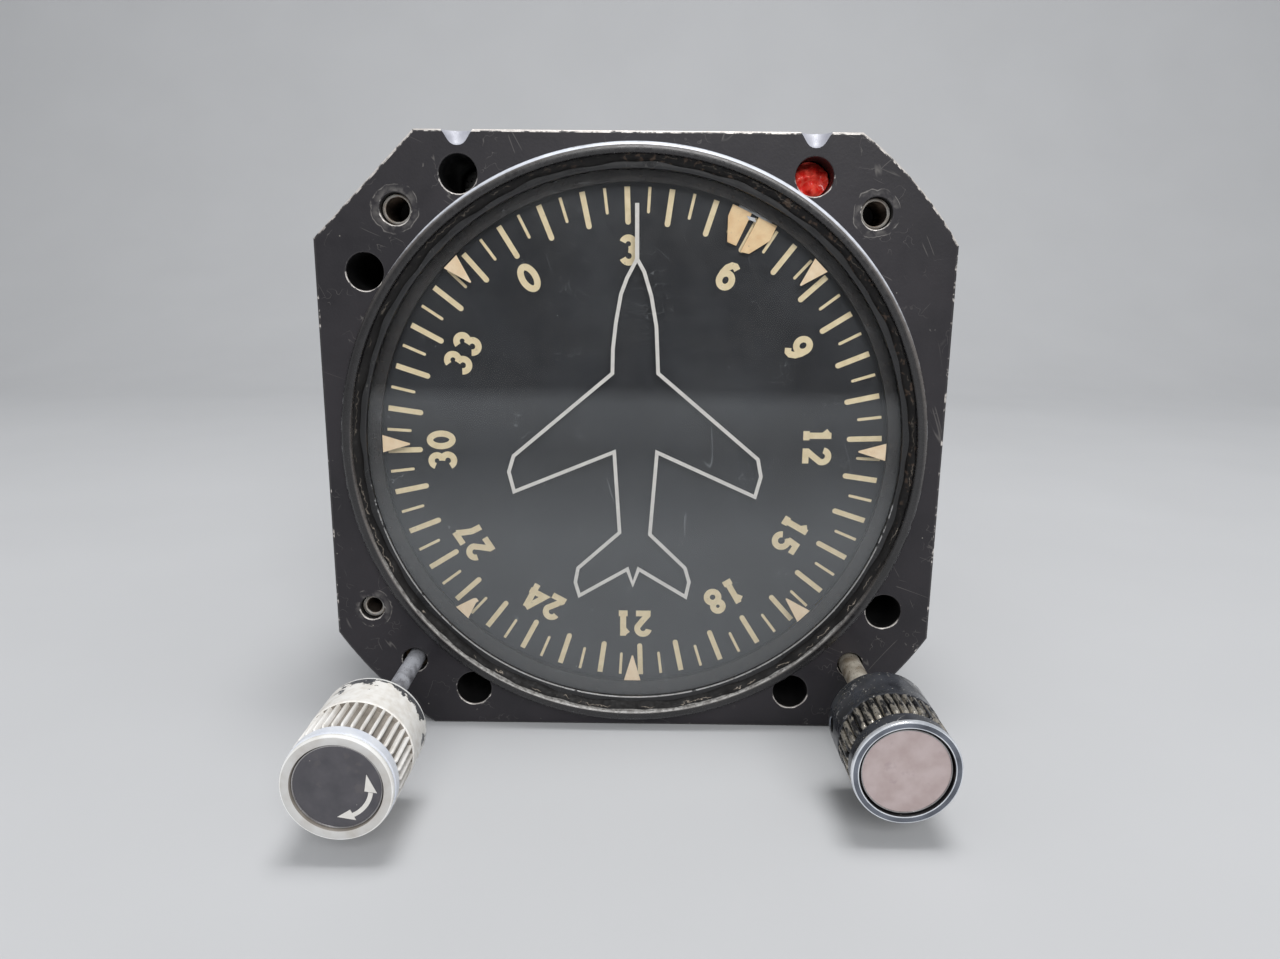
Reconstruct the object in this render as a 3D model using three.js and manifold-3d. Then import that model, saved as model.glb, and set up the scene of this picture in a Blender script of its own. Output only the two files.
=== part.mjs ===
// A panel-mounted aircraft directional gyro with a heading bug.
// Millimetres. +X is right, +Y is to the rear and +Z is up, as seen by the pilot.
// Inside the group the instrument axis is the Y axis, and y = 0 is the front face of the frame.
import * as THREE from 'three';
import { mergeVertices } from 'three/addons/utils/BufferGeometryUtils.js';
import Module from 'manifold-3d';

const wasm = await Module();
wasm.setup();

// Driving dimensions of the front frame
const FRAME_WIDTH = 85;
const FRAME_HEIGHT = 82.8;
const FRAME_DEPTH = 25;
const CORNER_RADIUS = 50.6;
const CORNER_CUT_DISTANCE = 49.6;
const RIM_RADIUS = 39.6;
const RIM_HEIGHT = 2.1;
const RIM_LAND = 0.7;
const RIM_EDGE = 0.3;
const BEZEL_BORE_RADIUS = 38.4;
const FRAME_BORE_RADIUS = 37.7;
const REAR_BORE_RADIUS = 38.2;
const FRONT_WALL = 4.4;

// Knob shafts, and the places of the holes in the front face
const KNOB_OFFSET = 31.6;
const PANEL_HOLE_OFFSET = 31.43;
const LOW_INSERT_X = 37.4;
const LOW_INSERT_Z = 23.7;
const CASE_SCREW_X = 23.1;
const CASE_SCREW_Z = 35.9;
const SPARE_HOLE_X = 35.85;
const SPARE_HOLE_Z = 23.4;
const DEEP_HOLE_RADIUS = 2.5;
const DEEP_HOLE_DEPTH = 17;
const INSERT_RADIUS = 1.95;
const INSERT_BORE_RADIUS = 1.6;
const INSERT_LENGTH = 8;
const INSERT_RECESS = 1;
const LOW_INSERT_RADIUS = 1.6;
const LOW_INSERT_BORE_RADIUS = 1.15;
const NOTCH_RADIUS = 2.1;
const NOTCH_DEPTH = 2;
const SEAL_RECESS = 2.2;
const SEAL_LENGTH = 3;
const SEAL_CROWN = 0.8;

// Case screws, with their heads at the bottom of the deep holes
const SCREW_RADIUS = 1.4;
const SCREW_HEAD_RADIUS = 2.2;
const SCREW_HEAD_HEIGHT = 1.8;
const SCREW_SLOT_WIDTH = 0.6;
const SCREW_SLOT_DEPTH = 0.7;

// Window stack
const RING_STAND = 0.6;
const RING_INNER_RADIUS = 36.7;
const RING_RADIUS = 38;
const BEAD_HEIGHT = 0.7;
const GLASS_THICKNESS = 1.5;
const MASK_THICKNESS = 0.4;
const MASK_INNER_RADIUS = 35.3;

// Card and heading bug
const CARD_RADIUS = 35.6;
const CARD_THICKNESS = 0.8;
const CARD_DEPTH = 3;
const BUG_BLADE_THICKNESS = 0.4;
const BUG_BLADE_GAP = 0.35;
const BUG_INNER_RADIUS = 30.2;
const BUG_ARM_INNER_RADIUS = 36.1;
const BUG_ARM_RADIUS = 37.2;
const BUG_HALF_ANGLE = 5.7;
const BUG_TIP_HALF_ANGLE = 4;
const BUG_SLOT_HALF_ANGLE = 0.6;
const BUG_HEADING = 63.1;
const BUG_PLATE_THICKNESS = 0.6;
const BUG_PLATE_GAP = 0.4;
const BUG_FOOT_RADIUS = 30.8;
const BUG_FOOT_INNER_RADIUS = 27;

// Gear trains. The module follows from the tooth counts, so that both trains reach the knob shafts.
const RING_TEETH = 96;
const IDLER_TEETH = 12;
const PINION_TEETH = 12;
const KNOB_RADIUS_AT_FRAME = KNOB_OFFSET * Math.SQRT2;
const GEAR_MODULE = (2 * KNOB_RADIUS_AT_FRAME) / (RING_TEETH + 2 * IDLER_TEETH + PINION_TEETH);
const ADDENDUM_SHARE = 0.8;
const DEDENDUM_SHARE = 1.05;
const GEAR_THICKNESS = 1.4;
const GEAR_HUB_WALL = 2.2;
const POCKET_GAP = 0.45;

// Dial bridge, which carries the spindle, the bug gear and both idlers
const BRIDGE_DEPTH = 9;
const BRIDGE_THICKNESS = 2;
const BRIDGE_TUBE_RADIUS = 6;
const BRIDGE_TUBE_BORE = 2.6;
const BRIDGE_TUBE_FRONT = 4.5;
const BRIDGE_TUBE_REAR = 12.6;
const BRIDGE_EAR_RADIUS = 2.9;
const BRIDGE_LEG_RADIUS = 1.3;
const BRIDGE_LEG_CENTRE_RADIUS = 36.6;
const SPINDLE_RADIUS = 2;
const SPINDLE_BEARING_RADIUS = 4.1;
const SPINDLE_BEARING_LENGTH = 2;
const IDLER_POST_RADIUS = 1.1;
const IDLER_POST_HEAD_RADIUS = 1.9;
const IDLER_POST_HEAD = 0.3;
const BUG_GEAR_DEPTH = 5.5;
const SETTING_GEAR_DEPTH = 13.4;
const SETTING_HUB_LENGTH = 3.2;

// Knobs and their shafts
const CAGE_KNOB_REACH = 34.3;
const CAGE_KNOB_LENGTH = 14.3;
const CAGE_KNOB_RADIUS = 6.5;
const CAGE_SHAFT_RADIUS = 1.25;
const BUG_KNOB_REACH = 29.7;
const BUG_KNOB_LENGTH = 13.4;
const BUG_KNOB_RADIUS = 6.37;
const BUG_SHAFT_RADIUS = 1.55;
const KNOB_COLLAR_SHARE = 0.3;
const KNOB_FLUTE_SHARE = 0.38;
const KNOB_LIP = 0.9;
const KNOB_EDGE = 0.5;
const KNOB_FACE_RECESS = 0.4;
const KNOB_INSERT_RADIUS = 5;
const KNOB_INSERT_THICKNESS = 0.9;
const KNOB_BORE_LENGTH = 9.5;
const FLUTE_COUNT = 36;
const FLUTE_DEPTH = 0.45;
const SET_SCREW_RADIUS = 0.8;
const SHAFT_HOLE_RADIUS = 1.8;
const SHAFT_BUSH_RADIUS = 2.6;
const SHAFT_BUSH_DEPTH = 2;
const SHAFT_BUSH_LENGTH = 2.9;
const PINION_LENGTH = 2;
const BUG_PINION_DEPTH = 5.2;
const CAGE_PINION_DEPTH = 9;
const CAGE_TRAVEL = 4;
const COLLAR_DEPTH = 16.1;
const COLLAR_RADIUS = 2.8;
const COLLAR_FLANGE = 0.5;
const COLLAR_GROOVE = 1.3;
const COLLAR_GROOVE_RADIUS = 1.9;
const FORK_THICKNESS = 0.7;
const FORK_RADIUS = 3.1;
const CAGING_ROD_RADIUS = 1;
const CAGING_ROD_CENTRE_RADIUS = 36.4;
const CAGING_ROD_LENGTH = 28;
const CAGING_PAD_LENGTH = 2.2;
const CAGING_PAD_RADIUS = 1.4;
const SPRING_WIRE_RADIUS = 0.22;
const SPRING_RADIUS = 1.95;
const SPRING_TURNS = 4;
const SPRING_STEPS = 6;
const SPRING_SIDES = 4;
const SHAFT_POD_RADIUS = 3;
const SHAFT_POD_LENGTH = 6.5;
const SHAFT_END_BEHIND_FRAME = 1.6;

// Case, rear cover and their fittings
const CASE_RADIUS = 39.4;
const CASE_WALL = 1.5;
const CASE_LENGTH = 112;
const CASE_FLANGE = 2.4;
const CASE_LIP_RADIUS = 35.2;
const COVER_THICKNESS = 3;
const COVER_SPIGOT_LENGTH = 3.5;
const COVER_SPIGOT_WALL = 1.6;
const COVER_EDGE = 0.8;
const GASKET_THICKNESS = 0.5;
const COVER_SCREW_COUNT = 4;
const COVER_SCREW_CENTRE_RADIUS = 35.4;
const COVER_SCREW_LENGTH = 10;
const CASE_BOSS_RADIUS = 3;
const CASE_BOSS_LENGTH = 14;
const FILTER_OFFSET_Z = -14;
const FILTER_RADIUS = 14;
const FILTER_WALL = 1.4;
const FILTER_LENGTH = 11;
const FILTER_ELEMENT_LENGTH = 6;
const FILTER_NECK_RADIUS = 8;
const FILTER_EDGE = 0.8;
const FILTER_SLOTS = 6;
const FILTER_SLOT_WIDTH = 2;
const FILTER_HUB_RADIUS = 3;
const PORT_OFFSET_X = -17;
const PORT_OFFSET_Z = 15;
const PORT_HEX_RADIUS = 9;
const PORT_HEX_LENGTH = 6;
const PORT_NIPPLE_RADIUS = 6.8;
const PORT_NIPPLE_LENGTH = 9;
const PORT_BORE_RADIUS = 4.2;
const PORT_STEM_RADIUS = 6;
const CONNECTOR_OFFSET_X = 14.5;
const CONNECTOR_OFFSET_Z = 13;
const CONNECTOR_FLANGE_SIZE = 17;
const CONNECTOR_FLANGE_THICKNESS = 1.6;
const CONNECTOR_RADIUS = 7.6;
const CONNECTOR_WALL = 1.1;
const CONNECTOR_LENGTH = 12;
const CONNECTOR_KEY_WIDTH = 1.2;
const CONNECTOR_INSERT_LENGTH = 6;
const CONNECTOR_PIN_COUNT = 7;
const CONNECTOR_PIN_SIDES = 6;
const CONNECTOR_PIN_RADIUS = 0.5;
const CONNECTOR_PIN_CENTRE_RADIUS = 3.9;
const CONNECTOR_PIN_LENGTH = 4;

// Gyro: gimbals, rotor and the bevel gears to the card
const GIMBAL_DEPTH = 59;
const OUTER_RING_RADIUS = 31.8;
const OUTER_RING_THICKNESS = 3;
const OUTER_RING_WIDTH = 8;
const GIMBAL_PIVOT_RADIUS = 1.5;
const GIMBAL_PIVOT_LENGTH = 5.4;
const GIMBAL_BEARING_RADIUS = 4;
const GIMBAL_BEARING_THICKNESS = 2;
const GIMBAL_BEARING_INSET = 2.6;
const GIMBAL_BOSS_RADIUS = 6.8;
const GIMBAL_BOSS_DEPTH = 4.2;
const GIMBAL_BOSS_STAND = 0.5;
const GIMBAL_CAP_THICKNESS = 1.1;
const INNER_RING_RADIUS = 27.6;
const INNER_RING_THICKNESS = 2.6;
const INNER_RING_WIDTH = 8;
const INNER_PIVOT_RADIUS = 1.2;
const INNER_BOSS_RADIUS = 3.4;
const ROTOR_RADIUS = 23.8;
const ROTOR_WIDTH = 14;
const ROTOR_RIM = 6;
const ROTOR_WEB = 5;
const ROTOR_HUB_RADIUS = 6;
const ROTOR_BUCKETS = 12;
const ROTOR_BUCKET_DEPTH = 1.1;
const ROTOR_BUCKET_WIDTH = 2.2;
const ROTOR_BUCKET_LENGTH = 7;
const ROTOR_SHAFT_RADIUS = 1.8;
const ROTOR_PIVOT_RADIUS = 1;
const ROTOR_BEARING_RADIUS = 2.6;
const ROTOR_BEARING_LENGTH = 2;
const NOZZLE_RADIUS = 1.5;
const NOZZLE_GAP = 0.6;
const NOZZLE_BORE_RADIUS = 0.6;
const BEVEL_TEETH = 24;
const BEVEL_OUTER_CONE = 35.4;
const BEVEL_FACE_WIDTH = 2.4;
const BEVEL_ADDENDUM = 1.2;
const BEVEL_DEDENDUM = 1.6;
const BEVEL_BACKING = 1.6;
const BEVEL_HUB_RADIUS = 6.6;
const BEVEL_HUB_FRONT = 33.1;
const BEVEL_HUB_REAR = 34.9;
const AZIMUTH_HUB_BORE = 3.2;

// Fits. Seated pieces keep SEAT_GAP, turning ones RUN_GAP, and cuts run past faces by OVERRUN.
const SEAT_GAP = 0.12;
const RUN_GAP = 0.16;
const OVERRUN = 1;
const TINY_SEGMENTS = 8;
const SMALL_SEGMENTS = 12;
const MEDIUM_SEGMENTS = 12;
const HIDDEN_SEGMENTS = 20;
const LARGE_SEGMENTS = 32;
const TINY_RADIUS = 1.7;
const SMALL_RADIUS = 2.7;
const MEDIUM_RADIUS = 12;
const MERGE_TOLERANCE = 1e-4;

const TURN = 2 * Math.PI;
const toRadians = (degrees) => (degrees * Math.PI) / 180;
const HALF_WIDTH = FRAME_WIDTH / 2;
const HALF_HEIGHT = FRAME_HEIGHT / 2;
const PINION_RADIUS = (GEAR_MODULE * PINION_TEETH) / 2;
const IDLER_RADIUS = (GEAR_MODULE * IDLER_TEETH) / 2;
const RING_RADIUS_AT_PITCH = (GEAR_MODULE * RING_TEETH) / 2;
const IDLER_CIRCLE = RING_RADIUS_AT_PITCH + IDLER_RADIUS;
const ADDENDUM = GEAR_MODULE * ADDENDUM_SHARE;
const RIGHT_ANGLE_OF_SHAFT = -Math.PI / 4;
const LEFT_ANGLE_OF_SHAFT = (-3 * Math.PI) / 4;
const CASE_BORE_RADIUS = CASE_RADIUS - CASE_WALL;
const REAR_FACE = CASE_LENGTH + GASKET_THICKNESS + COVER_THICKNESS;

// Closed solids from three.js geometry, joined and cut
function solidOf(geometry) {
  const bare = geometry.clone();
  bare.deleteAttribute('normal');
  bare.deleteAttribute('uv');
  const merged = mergeVertices(bare, MERGE_TOLERANCE);
  const positions = merged.getAttribute('position').array;
  const corners = merged.index.array;
  const triangles = [];
  let volume = 0;
  for (let i = 0; i < corners.length; i += 3) {
    const [a, b, c] = [corners[i], corners[i + 1], corners[i + 2]];
    if (a === b || b === c || c === a) continue;
    triangles.push([a, b, c]);
    const [p, q, r] = [a, b, c].map((v) => new THREE.Vector3().fromArray(positions, 3 * v));
    volume += p.dot(q.cross(r));
  }
  if (volume < 0) triangles.forEach((triangle) => triangle.reverse());
  return new wasm.Manifold(new wasm.Mesh({
    numProp: 3,
    vertProperties: new Float32Array(positions),
    triVerts: new Uint32Array(triangles.flat()),
  }));
}

function geometryOf(solid) {
  const mesh = solid.getMesh();
  const geometry = new THREE.BufferGeometry();
  geometry.setAttribute('position', new THREE.BufferAttribute(mesh.vertProperties, 3));
  geometry.setIndex(new THREE.BufferAttribute(mesh.triVerts, 1));
  return geometry;
}

const joined = (...solids) => solids.reduce((whole, solid) => whole.add(solid));
const cut = (solid, ...tools) => tools.reduce((left, tool) => left.subtract(tool), solid);

function segmentsFor(radius) {
  if (radius < TINY_RADIUS) return TINY_SEGMENTS;
  if (radius < SMALL_RADIUS) return SMALL_SEGMENTS;
  return radius < MEDIUM_RADIUS ? MEDIUM_SEGMENTS : LARGE_SEGMENTS;
}

// A profile of [radius, distance along the axis] turned about the Y axis
function turnedGeometry(profile, segments) {
  const points = profile.map(([radius, along]) => new THREE.Vector2(radius, along));
  const closesOnAxis = profile[0][0] === 0 && profile[profile.length - 1][0] === 0;
  if (!closesOnAxis) points.push(points[0].clone());
  const widest = Math.max(...profile.map(([radius]) => radius));
  return new THREE.LatheGeometry(points, segments ?? segmentsFor(widest));
}

const turned = (profile, segments) => solidOf(turnedGeometry(profile, segments));

// The same, about the vertical Z axis (along goes up) or about the X axis (along goes right)
function turnedUpright(profile, segments) {
  return solidOf(turnedGeometry(profile, segments).rotateX(Math.PI / 2));
}

function turnedSideways(profile, segments) {
  return solidOf(turnedGeometry(profile, segments).rotateZ(-Math.PI / 2));
}

const rod = (radius, from, to, x = 0, z = 0, segments = undefined) =>
  turned([[0, from], [radius, from], [radius, to], [0, to]], segments).translate([x, 0, z]);

const tube = (outer, inner, from, to, x = 0, z = 0, segments = undefined) =>
  turned([[inner, from], [outer, from], [outer, to], [inner, to]], segments).translate([x, 0, z]);

function block(width, depth, height, x, y, z) {
  return solidOf(new THREE.BoxGeometry(width, depth, height).translate(x, y, z));
}

// An outline in the X-Z plane, given as [x, z] points, swept from one depth to another
function plate(points, from, to, holes = []) {
  const shape = new THREE.Shape(points.map(([x, z]) => new THREE.Vector2(x, z)));
  for (const hole of holes) shape.holes.push(new THREE.Path(hole.map(([x, z]) => new THREE.Vector2(x, z))));
  const geometry = new THREE.ExtrudeGeometry(shape, { depth: to - from, bevelEnabled: false, steps: 1 });
  return solidOf(geometry.rotateX(Math.PI / 2).translate(0, to, 0));
}

const polar = (radius, angle) => [radius * Math.cos(angle), radius * Math.sin(angle)];

function arcPoints(radius, from, to, count) {
  return Array.from({ length: count + 1 }, (_, i) => polar(radius, from + ((to - from) * i) / count));
}

const circlePoints = (radius, segments) => arcPoints(radius, 0, TURN, segments).slice(0, -1);

// Pointed teeth of a spur gear, as [x, z] points. One tooth is centred on the phase angle.
function spurOutline(teeth, phase) {
  const pitchRadius = (GEAR_MODULE * teeth) / 2;
  const tip = pitchRadius + ADDENDUM;
  const root = pitchRadius - GEAR_MODULE * DEDENDUM_SHARE;
  const step = TURN / teeth;
  return Array.from({ length: teeth }, (_, i) => phase + i * step).flatMap((middle) => [
    polar(tip, middle), polar(root, middle + step / 2),
  ]);
}

// A ring of loops, each joined to the next. Where two loops differ in points, one count divides the other.
function lofted(loops) {
  const starts = loops.map((_, i) => loops.slice(0, i).reduce((sum, loop) => sum + loop.length, 0));
  const corners = [];
  loops.forEach((loop, i) => {
    const next = (i + 1) % loops.length;
    const steps = Math.max(loop.length, loops[next].length);
    const pick = (which, step) => {
      const count = loops[which].length;
      return starts[which] + (Math.floor((step * count) / steps) % count);
    };
    for (let step = 0; step < steps; step += 1) {
      const [a, b] = [pick(i, step), pick(i, step + 1)];
      const [c, d] = [pick(next, step), pick(next, step + 1)];
      if (c !== d) corners.push(a, c, d);
      if (a !== b) corners.push(a, d, b);
    }
  });
  const geometry = new THREE.BufferGeometry();
  geometry.setAttribute('position', new THREE.Float32BufferAttribute(loops.flat(2), 3));
  geometry.setIndex(corners);
  return solidOf(geometry);
}

// A straight bevel gear whose pitch cone has its apex at the origin and opens along -Y.
// Behind the teeth it is a conical dish with a hub.
function bevelDish(boreRadius, phase) {
  const step = TURN / BEVEL_TEETH;
  const inner = BEVEL_OUTER_CONE - BEVEL_FACE_WIDTH;
  const turnedPoint = ([radius, along], angle) =>
    [radius * Math.cos(angle), -along, radius * Math.sin(angle)];
  const onCone = (distance, height) =>
    [(distance + height) * Math.SQRT1_2, (distance - height) * Math.SQRT1_2];
  const toothLoop = (distance, tipHeight, rootHeight) => {
    const scale = distance / BEVEL_OUTER_CONE;
    return Array.from({ length: BEVEL_TEETH }, (_, i) => phase + i * step).flatMap((middle) => [
      turnedPoint(onCone(distance, tipHeight * scale), middle),
      turnedPoint(onCone(distance, rootHeight * scale), middle + step / 2),
    ]);
  };
  const roundLoop = (radius, along) => Array.from({ length: MEDIUM_SEGMENTS }, (_, i) =>
    turnedPoint([radius, along], phase + (i * TURN) / MEDIUM_SEGMENTS));
  const backing = -(BEVEL_DEDENDUM + BEVEL_BACKING);
  return lofted([
    toothLoop(inner, BEVEL_ADDENDUM, -BEVEL_DEDENDUM),
    toothLoop(BEVEL_OUTER_CONE, BEVEL_ADDENDUM, -BEVEL_DEDENDUM),
    toothLoop(BEVEL_OUTER_CONE, backing, backing),
    roundLoop(BEVEL_HUB_RADIUS, BEVEL_HUB_REAR),
    roundLoop(boreRadius, BEVEL_HUB_REAR),
    roundLoop(boreRadius, BEVEL_HUB_FRONT),
    roundLoop(BEVEL_HUB_RADIUS, BEVEL_HUB_FRONT),
    toothLoop(inner, backing, backing),
  ]);
}

// The group, the finishes and the call that adds a named piece
const instrument = new THREE.Group();
const finish = (color, roughness, metalness) => ({ color, roughness, metalness });
const BLACK_PAINT = finish(0x2e2d2f, 0.45, 0.3);
const CASE_PAINT = finish(0x262627, 0.5, 0.3);
const STEEL = finish(0x9b9a96, 0.35, 0.9);
const BARE_ALUMINIUM = finish(0xc9cacb, 0.3, 0.85);
const ALUMINIUM = finish(0xa6a7a8, 0.4, 0.85);
const BRASS = finish(0xb08d4a, 0.35, 0.9);
const CREAM_PAINT = finish(0xe3bf8c, 0.6, 0);
const CARD_BLACK = finish(0x2a2a2c, 0.7, 0);
const RUBBER = finish(0x1b1b1b, 0.8, 0);

function piece(name, solid, { color, roughness, metalness, opacity = 1 }) {
  const material = new THREE.MeshStandardMaterial({
    color, roughness, metalness, opacity, transparent: opacity < 1,
  });
  const mesh = new THREE.Mesh(geometryOf(solid), material);
  mesh.name = name;
  instrument.add(mesh);
  return mesh;
}

// Front frame
function frameOutline() {
  const [sideZ, topX] = [HALF_WIDTH, HALF_HEIGHT].map((half) => Math.sqrt(CORNER_RADIUS ** 2 - half ** 2));
  const steps = TINY_SEGMENTS;
  const corner = (fromX, fromZ, toX, toZ) =>
    arcPoints(CORNER_RADIUS, Math.atan2(fromZ, fromX), Math.atan2(toZ, toX), steps);
  const reach = CORNER_CUT_DISTANCE * Math.SQRT2;
  return [
    ...corner(HALF_WIDTH, sideZ, topX, HALF_HEIGHT),
    [HALF_HEIGHT - reach, HALF_HEIGHT],
    [-HALF_WIDTH, reach - HALF_WIDTH],
    ...corner(-HALF_WIDTH, -sideZ, -topX, -HALF_HEIGHT),
    ...corner(topX, -HALF_HEIGHT, HALF_WIDTH, -sideZ),
  ];
}

const sides = [
  { side: 'right', angle: RIGHT_ANGLE_OF_SHAFT, x: KNOB_OFFSET, shaft: BUG_SHAFT_RADIUS },
  { side: 'left', angle: LEFT_ANGLE_OF_SHAFT, x: -KNOB_OFFSET, shaft: CAGE_SHAFT_RADIUS },
];
const panelInserts = [
  { x: -PANEL_HOLE_OFFSET, z: PANEL_HOLE_OFFSET, radius: INSERT_RADIUS, bore: INSERT_BORE_RADIUS },
  { x: PANEL_HOLE_OFFSET, z: PANEL_HOLE_OFFSET, radius: INSERT_RADIUS, bore: INSERT_BORE_RADIUS },
  { x: -LOW_INSERT_X, z: -LOW_INSERT_Z, radius: LOW_INSERT_RADIUS, bore: LOW_INSERT_BORE_RADIUS },
];
const caseScrews = [[-1, 1], [1, 1], [-1, -1], [1, -1]].map(([x, z]) =>
  [x * CASE_SCREW_X, z * CASE_SCREW_Z]);
const spareHoles = [[-SPARE_HOLE_X, SPARE_HOLE_Z], [SPARE_HOLE_X, -SPARE_HOLE_Z]];

function frontFrame() {
  const rimTop = -RIM_HEIGHT;
  const rim = turned([
    [0, rimTop], [RIM_RADIUS - RIM_EDGE, rimTop], [RIM_RADIUS, rimTop + RIM_EDGE],
    [RIM_RADIUS, OVERRUN], [0, OVERRUN],
  ], LARGE_SEGMENTS);
  const landRadius = RIM_RADIUS - RIM_EDGE - RIM_LAND;
  const ledge = GLASS_THICKNESS + MASK_THICKNESS;
  const bore = turned([
    [0, rimTop - OVERRUN], [landRadius + OVERRUN, rimTop - OVERRUN], [landRadius, rimTop],
    [BEZEL_BORE_RADIUS, rimTop + (landRadius - BEZEL_BORE_RADIUS)],
    [BEZEL_BORE_RADIUS, ledge], [FRAME_BORE_RADIUS, ledge],
    [FRAME_BORE_RADIUS, BRIDGE_DEPTH], [REAR_BORE_RADIUS, BRIDGE_DEPTH],
    [REAR_BORE_RADIUS, FRAME_DEPTH + OVERRUN], [0, FRAME_DEPTH + OVERRUN],
  ], LARGE_SEGMENTS);
  const tools = [bore];
  for (const { x, z, radius } of panelInserts) {
    tools.push(rod(radius + SEAT_GAP, -OVERRUN, INSERT_RECESS + INSERT_LENGTH + SEAT_GAP, x, z));
  }
  for (const [x, z] of [...caseScrews, ...spareHoles]) {
    tools.push(rod(DEEP_HOLE_RADIUS, -OVERRUN, DEEP_HOLE_DEPTH, x, z));
  }
  for (const [x, z] of caseScrews) {
    tools.push(rod(SCREW_RADIUS + SEAT_GAP, DEEP_HOLE_DEPTH - OVERRUN, FRAME_DEPTH + OVERRUN, x, z));
  }
  for (const { angle, x } of sides) {
    const [idlerX, idlerZ] = polar(IDLER_CIRCLE, angle);
    const pinionPocket = PINION_RADIUS + ADDENDUM + POCKET_GAP;
    const idlerPocket = IDLER_RADIUS + ADDENDUM + POCKET_GAP;
    tools.push(rod(SHAFT_HOLE_RADIUS, -OVERRUN, FRAME_DEPTH, x, -KNOB_OFFSET));
    tools.push(rod(SHAFT_BUSH_RADIUS + SEAT_GAP, SHAFT_BUSH_DEPTH, FRAME_DEPTH, x, -KNOB_OFFSET));
    tools.push(rod(pinionPocket, FRONT_WALL, FRAME_DEPTH + OVERRUN, x, -KNOB_OFFSET));
    tools.push(rod(idlerPocket, FRONT_WALL, FRAME_DEPTH + OVERRUN, idlerX, idlerZ));
  }
  for (const [x] of caseScrews.slice(0, 2)) tools.push(topNotch(x));
  return cut(joined(plate(frameOutline(), 0, FRAME_DEPTH), rim), ...tools);
}

// A blunt drilled notch, centred on the front edge of the top side
function topNotch(x) {
  const [tipShare, shoulderShare, shoulderDepthShare] = [0.3, 0.54, 0.78];
  return turnedUpright([
    [0, -NOTCH_DEPTH], [NOTCH_RADIUS * tipShare, -NOTCH_DEPTH],
    [NOTCH_RADIUS * shoulderShare, -NOTCH_DEPTH * shoulderDepthShare],
    [NOTCH_RADIUS, 0], [NOTCH_RADIUS, OVERRUN], [0, OVERRUN],
  ]).translate([x, 0, HALF_HEIGHT]);
}

piece('front_frame', frontFrame(), BLACK_PAINT);

// Pieces in the holes of the front face
panelInserts.forEach(({ x, z, radius, bore }, i) => {
  const sleeve = tube(radius, bore, INSERT_RECESS, INSERT_RECESS + INSERT_LENGTH, x, z);
  piece(`threaded_insert_${i + 1}`, sleeve, STEEL);
});

caseScrews.forEach(([x, z], i) => {
  const top = DEEP_HOLE_DEPTH - SCREW_HEAD_HEIGHT;
  const head = rod(SCREW_HEAD_RADIUS, top, DEEP_HOLE_DEPTH, x, z, MEDIUM_SEGMENTS);
  const shank = rod(SCREW_RADIUS, DEEP_HOLE_DEPTH - SCREW_SLOT_DEPTH, FRAME_DEPTH + CASE_FLANGE, x, z);
  piece(`case_screw_${i + 1}`, joined(head, shank), STEEL);
});

function holeSeal() {
  const radius = DEEP_HOLE_RADIUS - SEAT_GAP;
  const [x, z] = caseScrews[1];
  return turned([
    [0, SEAL_RECESS], [radius / 2, SEAL_RECESS + SEAL_CROWN / 4], [radius, SEAL_RECESS + SEAL_CROWN],
    [radius, SEAL_RECESS + SEAL_LENGTH], [0, SEAL_RECESS + SEAL_LENGTH],
  ]).translate([x, 0, z]);
}

piece('hole_seal', holeSeal(), finish(0xd8231f, 0.25, 0));

sides.forEach(({ side, x, shaft }) => {
  const name = side === 'left' ? 'cage_shaft_bushing' : 'bug_shaft_bushing';
  const end = SHAFT_BUSH_DEPTH + SHAFT_BUSH_LENGTH;
  const start = SHAFT_BUSH_DEPTH + SEAT_GAP;
  piece(name, tube(SHAFT_BUSH_RADIUS, shaft + RUN_GAP, start, end, x, -KNOB_OFFSET), BRASS);
});

// Window stack: ring, sealing compound, glass and mask, from the front
const windowRadius = BEZEL_BORE_RADIUS - RUN_GAP;
piece('window_retaining_ring', tube(RING_RADIUS, RING_INNER_RADIUS, -RING_STAND, 0), CASE_PAINT);
piece('sealing_compound', turned([
  [RING_RADIUS + SEAT_GAP, 0], [windowRadius, 0], [windowRadius, -RING_STAND - BEAD_HEIGHT],
  [RING_RADIUS + SEAT_GAP, -RING_STAND],
]), RUBBER);
const CLEAR_GLASS = { ...finish(0xdde3e3, 0.05, 0), opacity: 0.2 };
piece('window_glass', rod(windowRadius, 0, GLASS_THICKNESS), CLEAR_GLASS);
const maskRear = GLASS_THICKNESS + MASK_THICKNESS;
piece('dial_mask', tube(windowRadius, MASK_INNER_RADIUS, GLASS_THICKNESS, maskRear), CARD_BLACK);

// Dial bridge and what it carries
const idlers = sides.map(({ side, angle }) => ({ side, angle, place: polar(IDLER_CIRCLE, angle) }));
const bridgeRear = BRIDGE_DEPTH + BRIDGE_THICKNESS;
const settingRear = SETTING_GEAR_DEPTH + GEAR_THICKNESS;
const [bugIdlerPlace, settingIdlerPlace] = idlers.map(({ place }) => place);

// The right idler post faces forwards to the bug gear, the left one backwards to the setting gear
function idlerPosts() {
  const bugHead = BUG_GEAR_DEPTH - RUN_GAP;
  const settingHead = settingRear + RUN_GAP;
  return [
    rod(IDLER_POST_RADIUS, bugHead - IDLER_POST_HEAD, BRIDGE_DEPTH + OVERRUN, ...bugIdlerPlace),
    rod(IDLER_POST_HEAD_RADIUS, bugHead - IDLER_POST_HEAD, bugHead, ...bugIdlerPlace),
    rod(IDLER_POST_RADIUS, bridgeRear - OVERRUN, settingHead + IDLER_POST_HEAD, ...settingIdlerPlace),
    rod(IDLER_POST_HEAD_RADIUS, settingHead, settingHead + IDLER_POST_HEAD, ...settingIdlerPlace),
  ];
}

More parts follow.
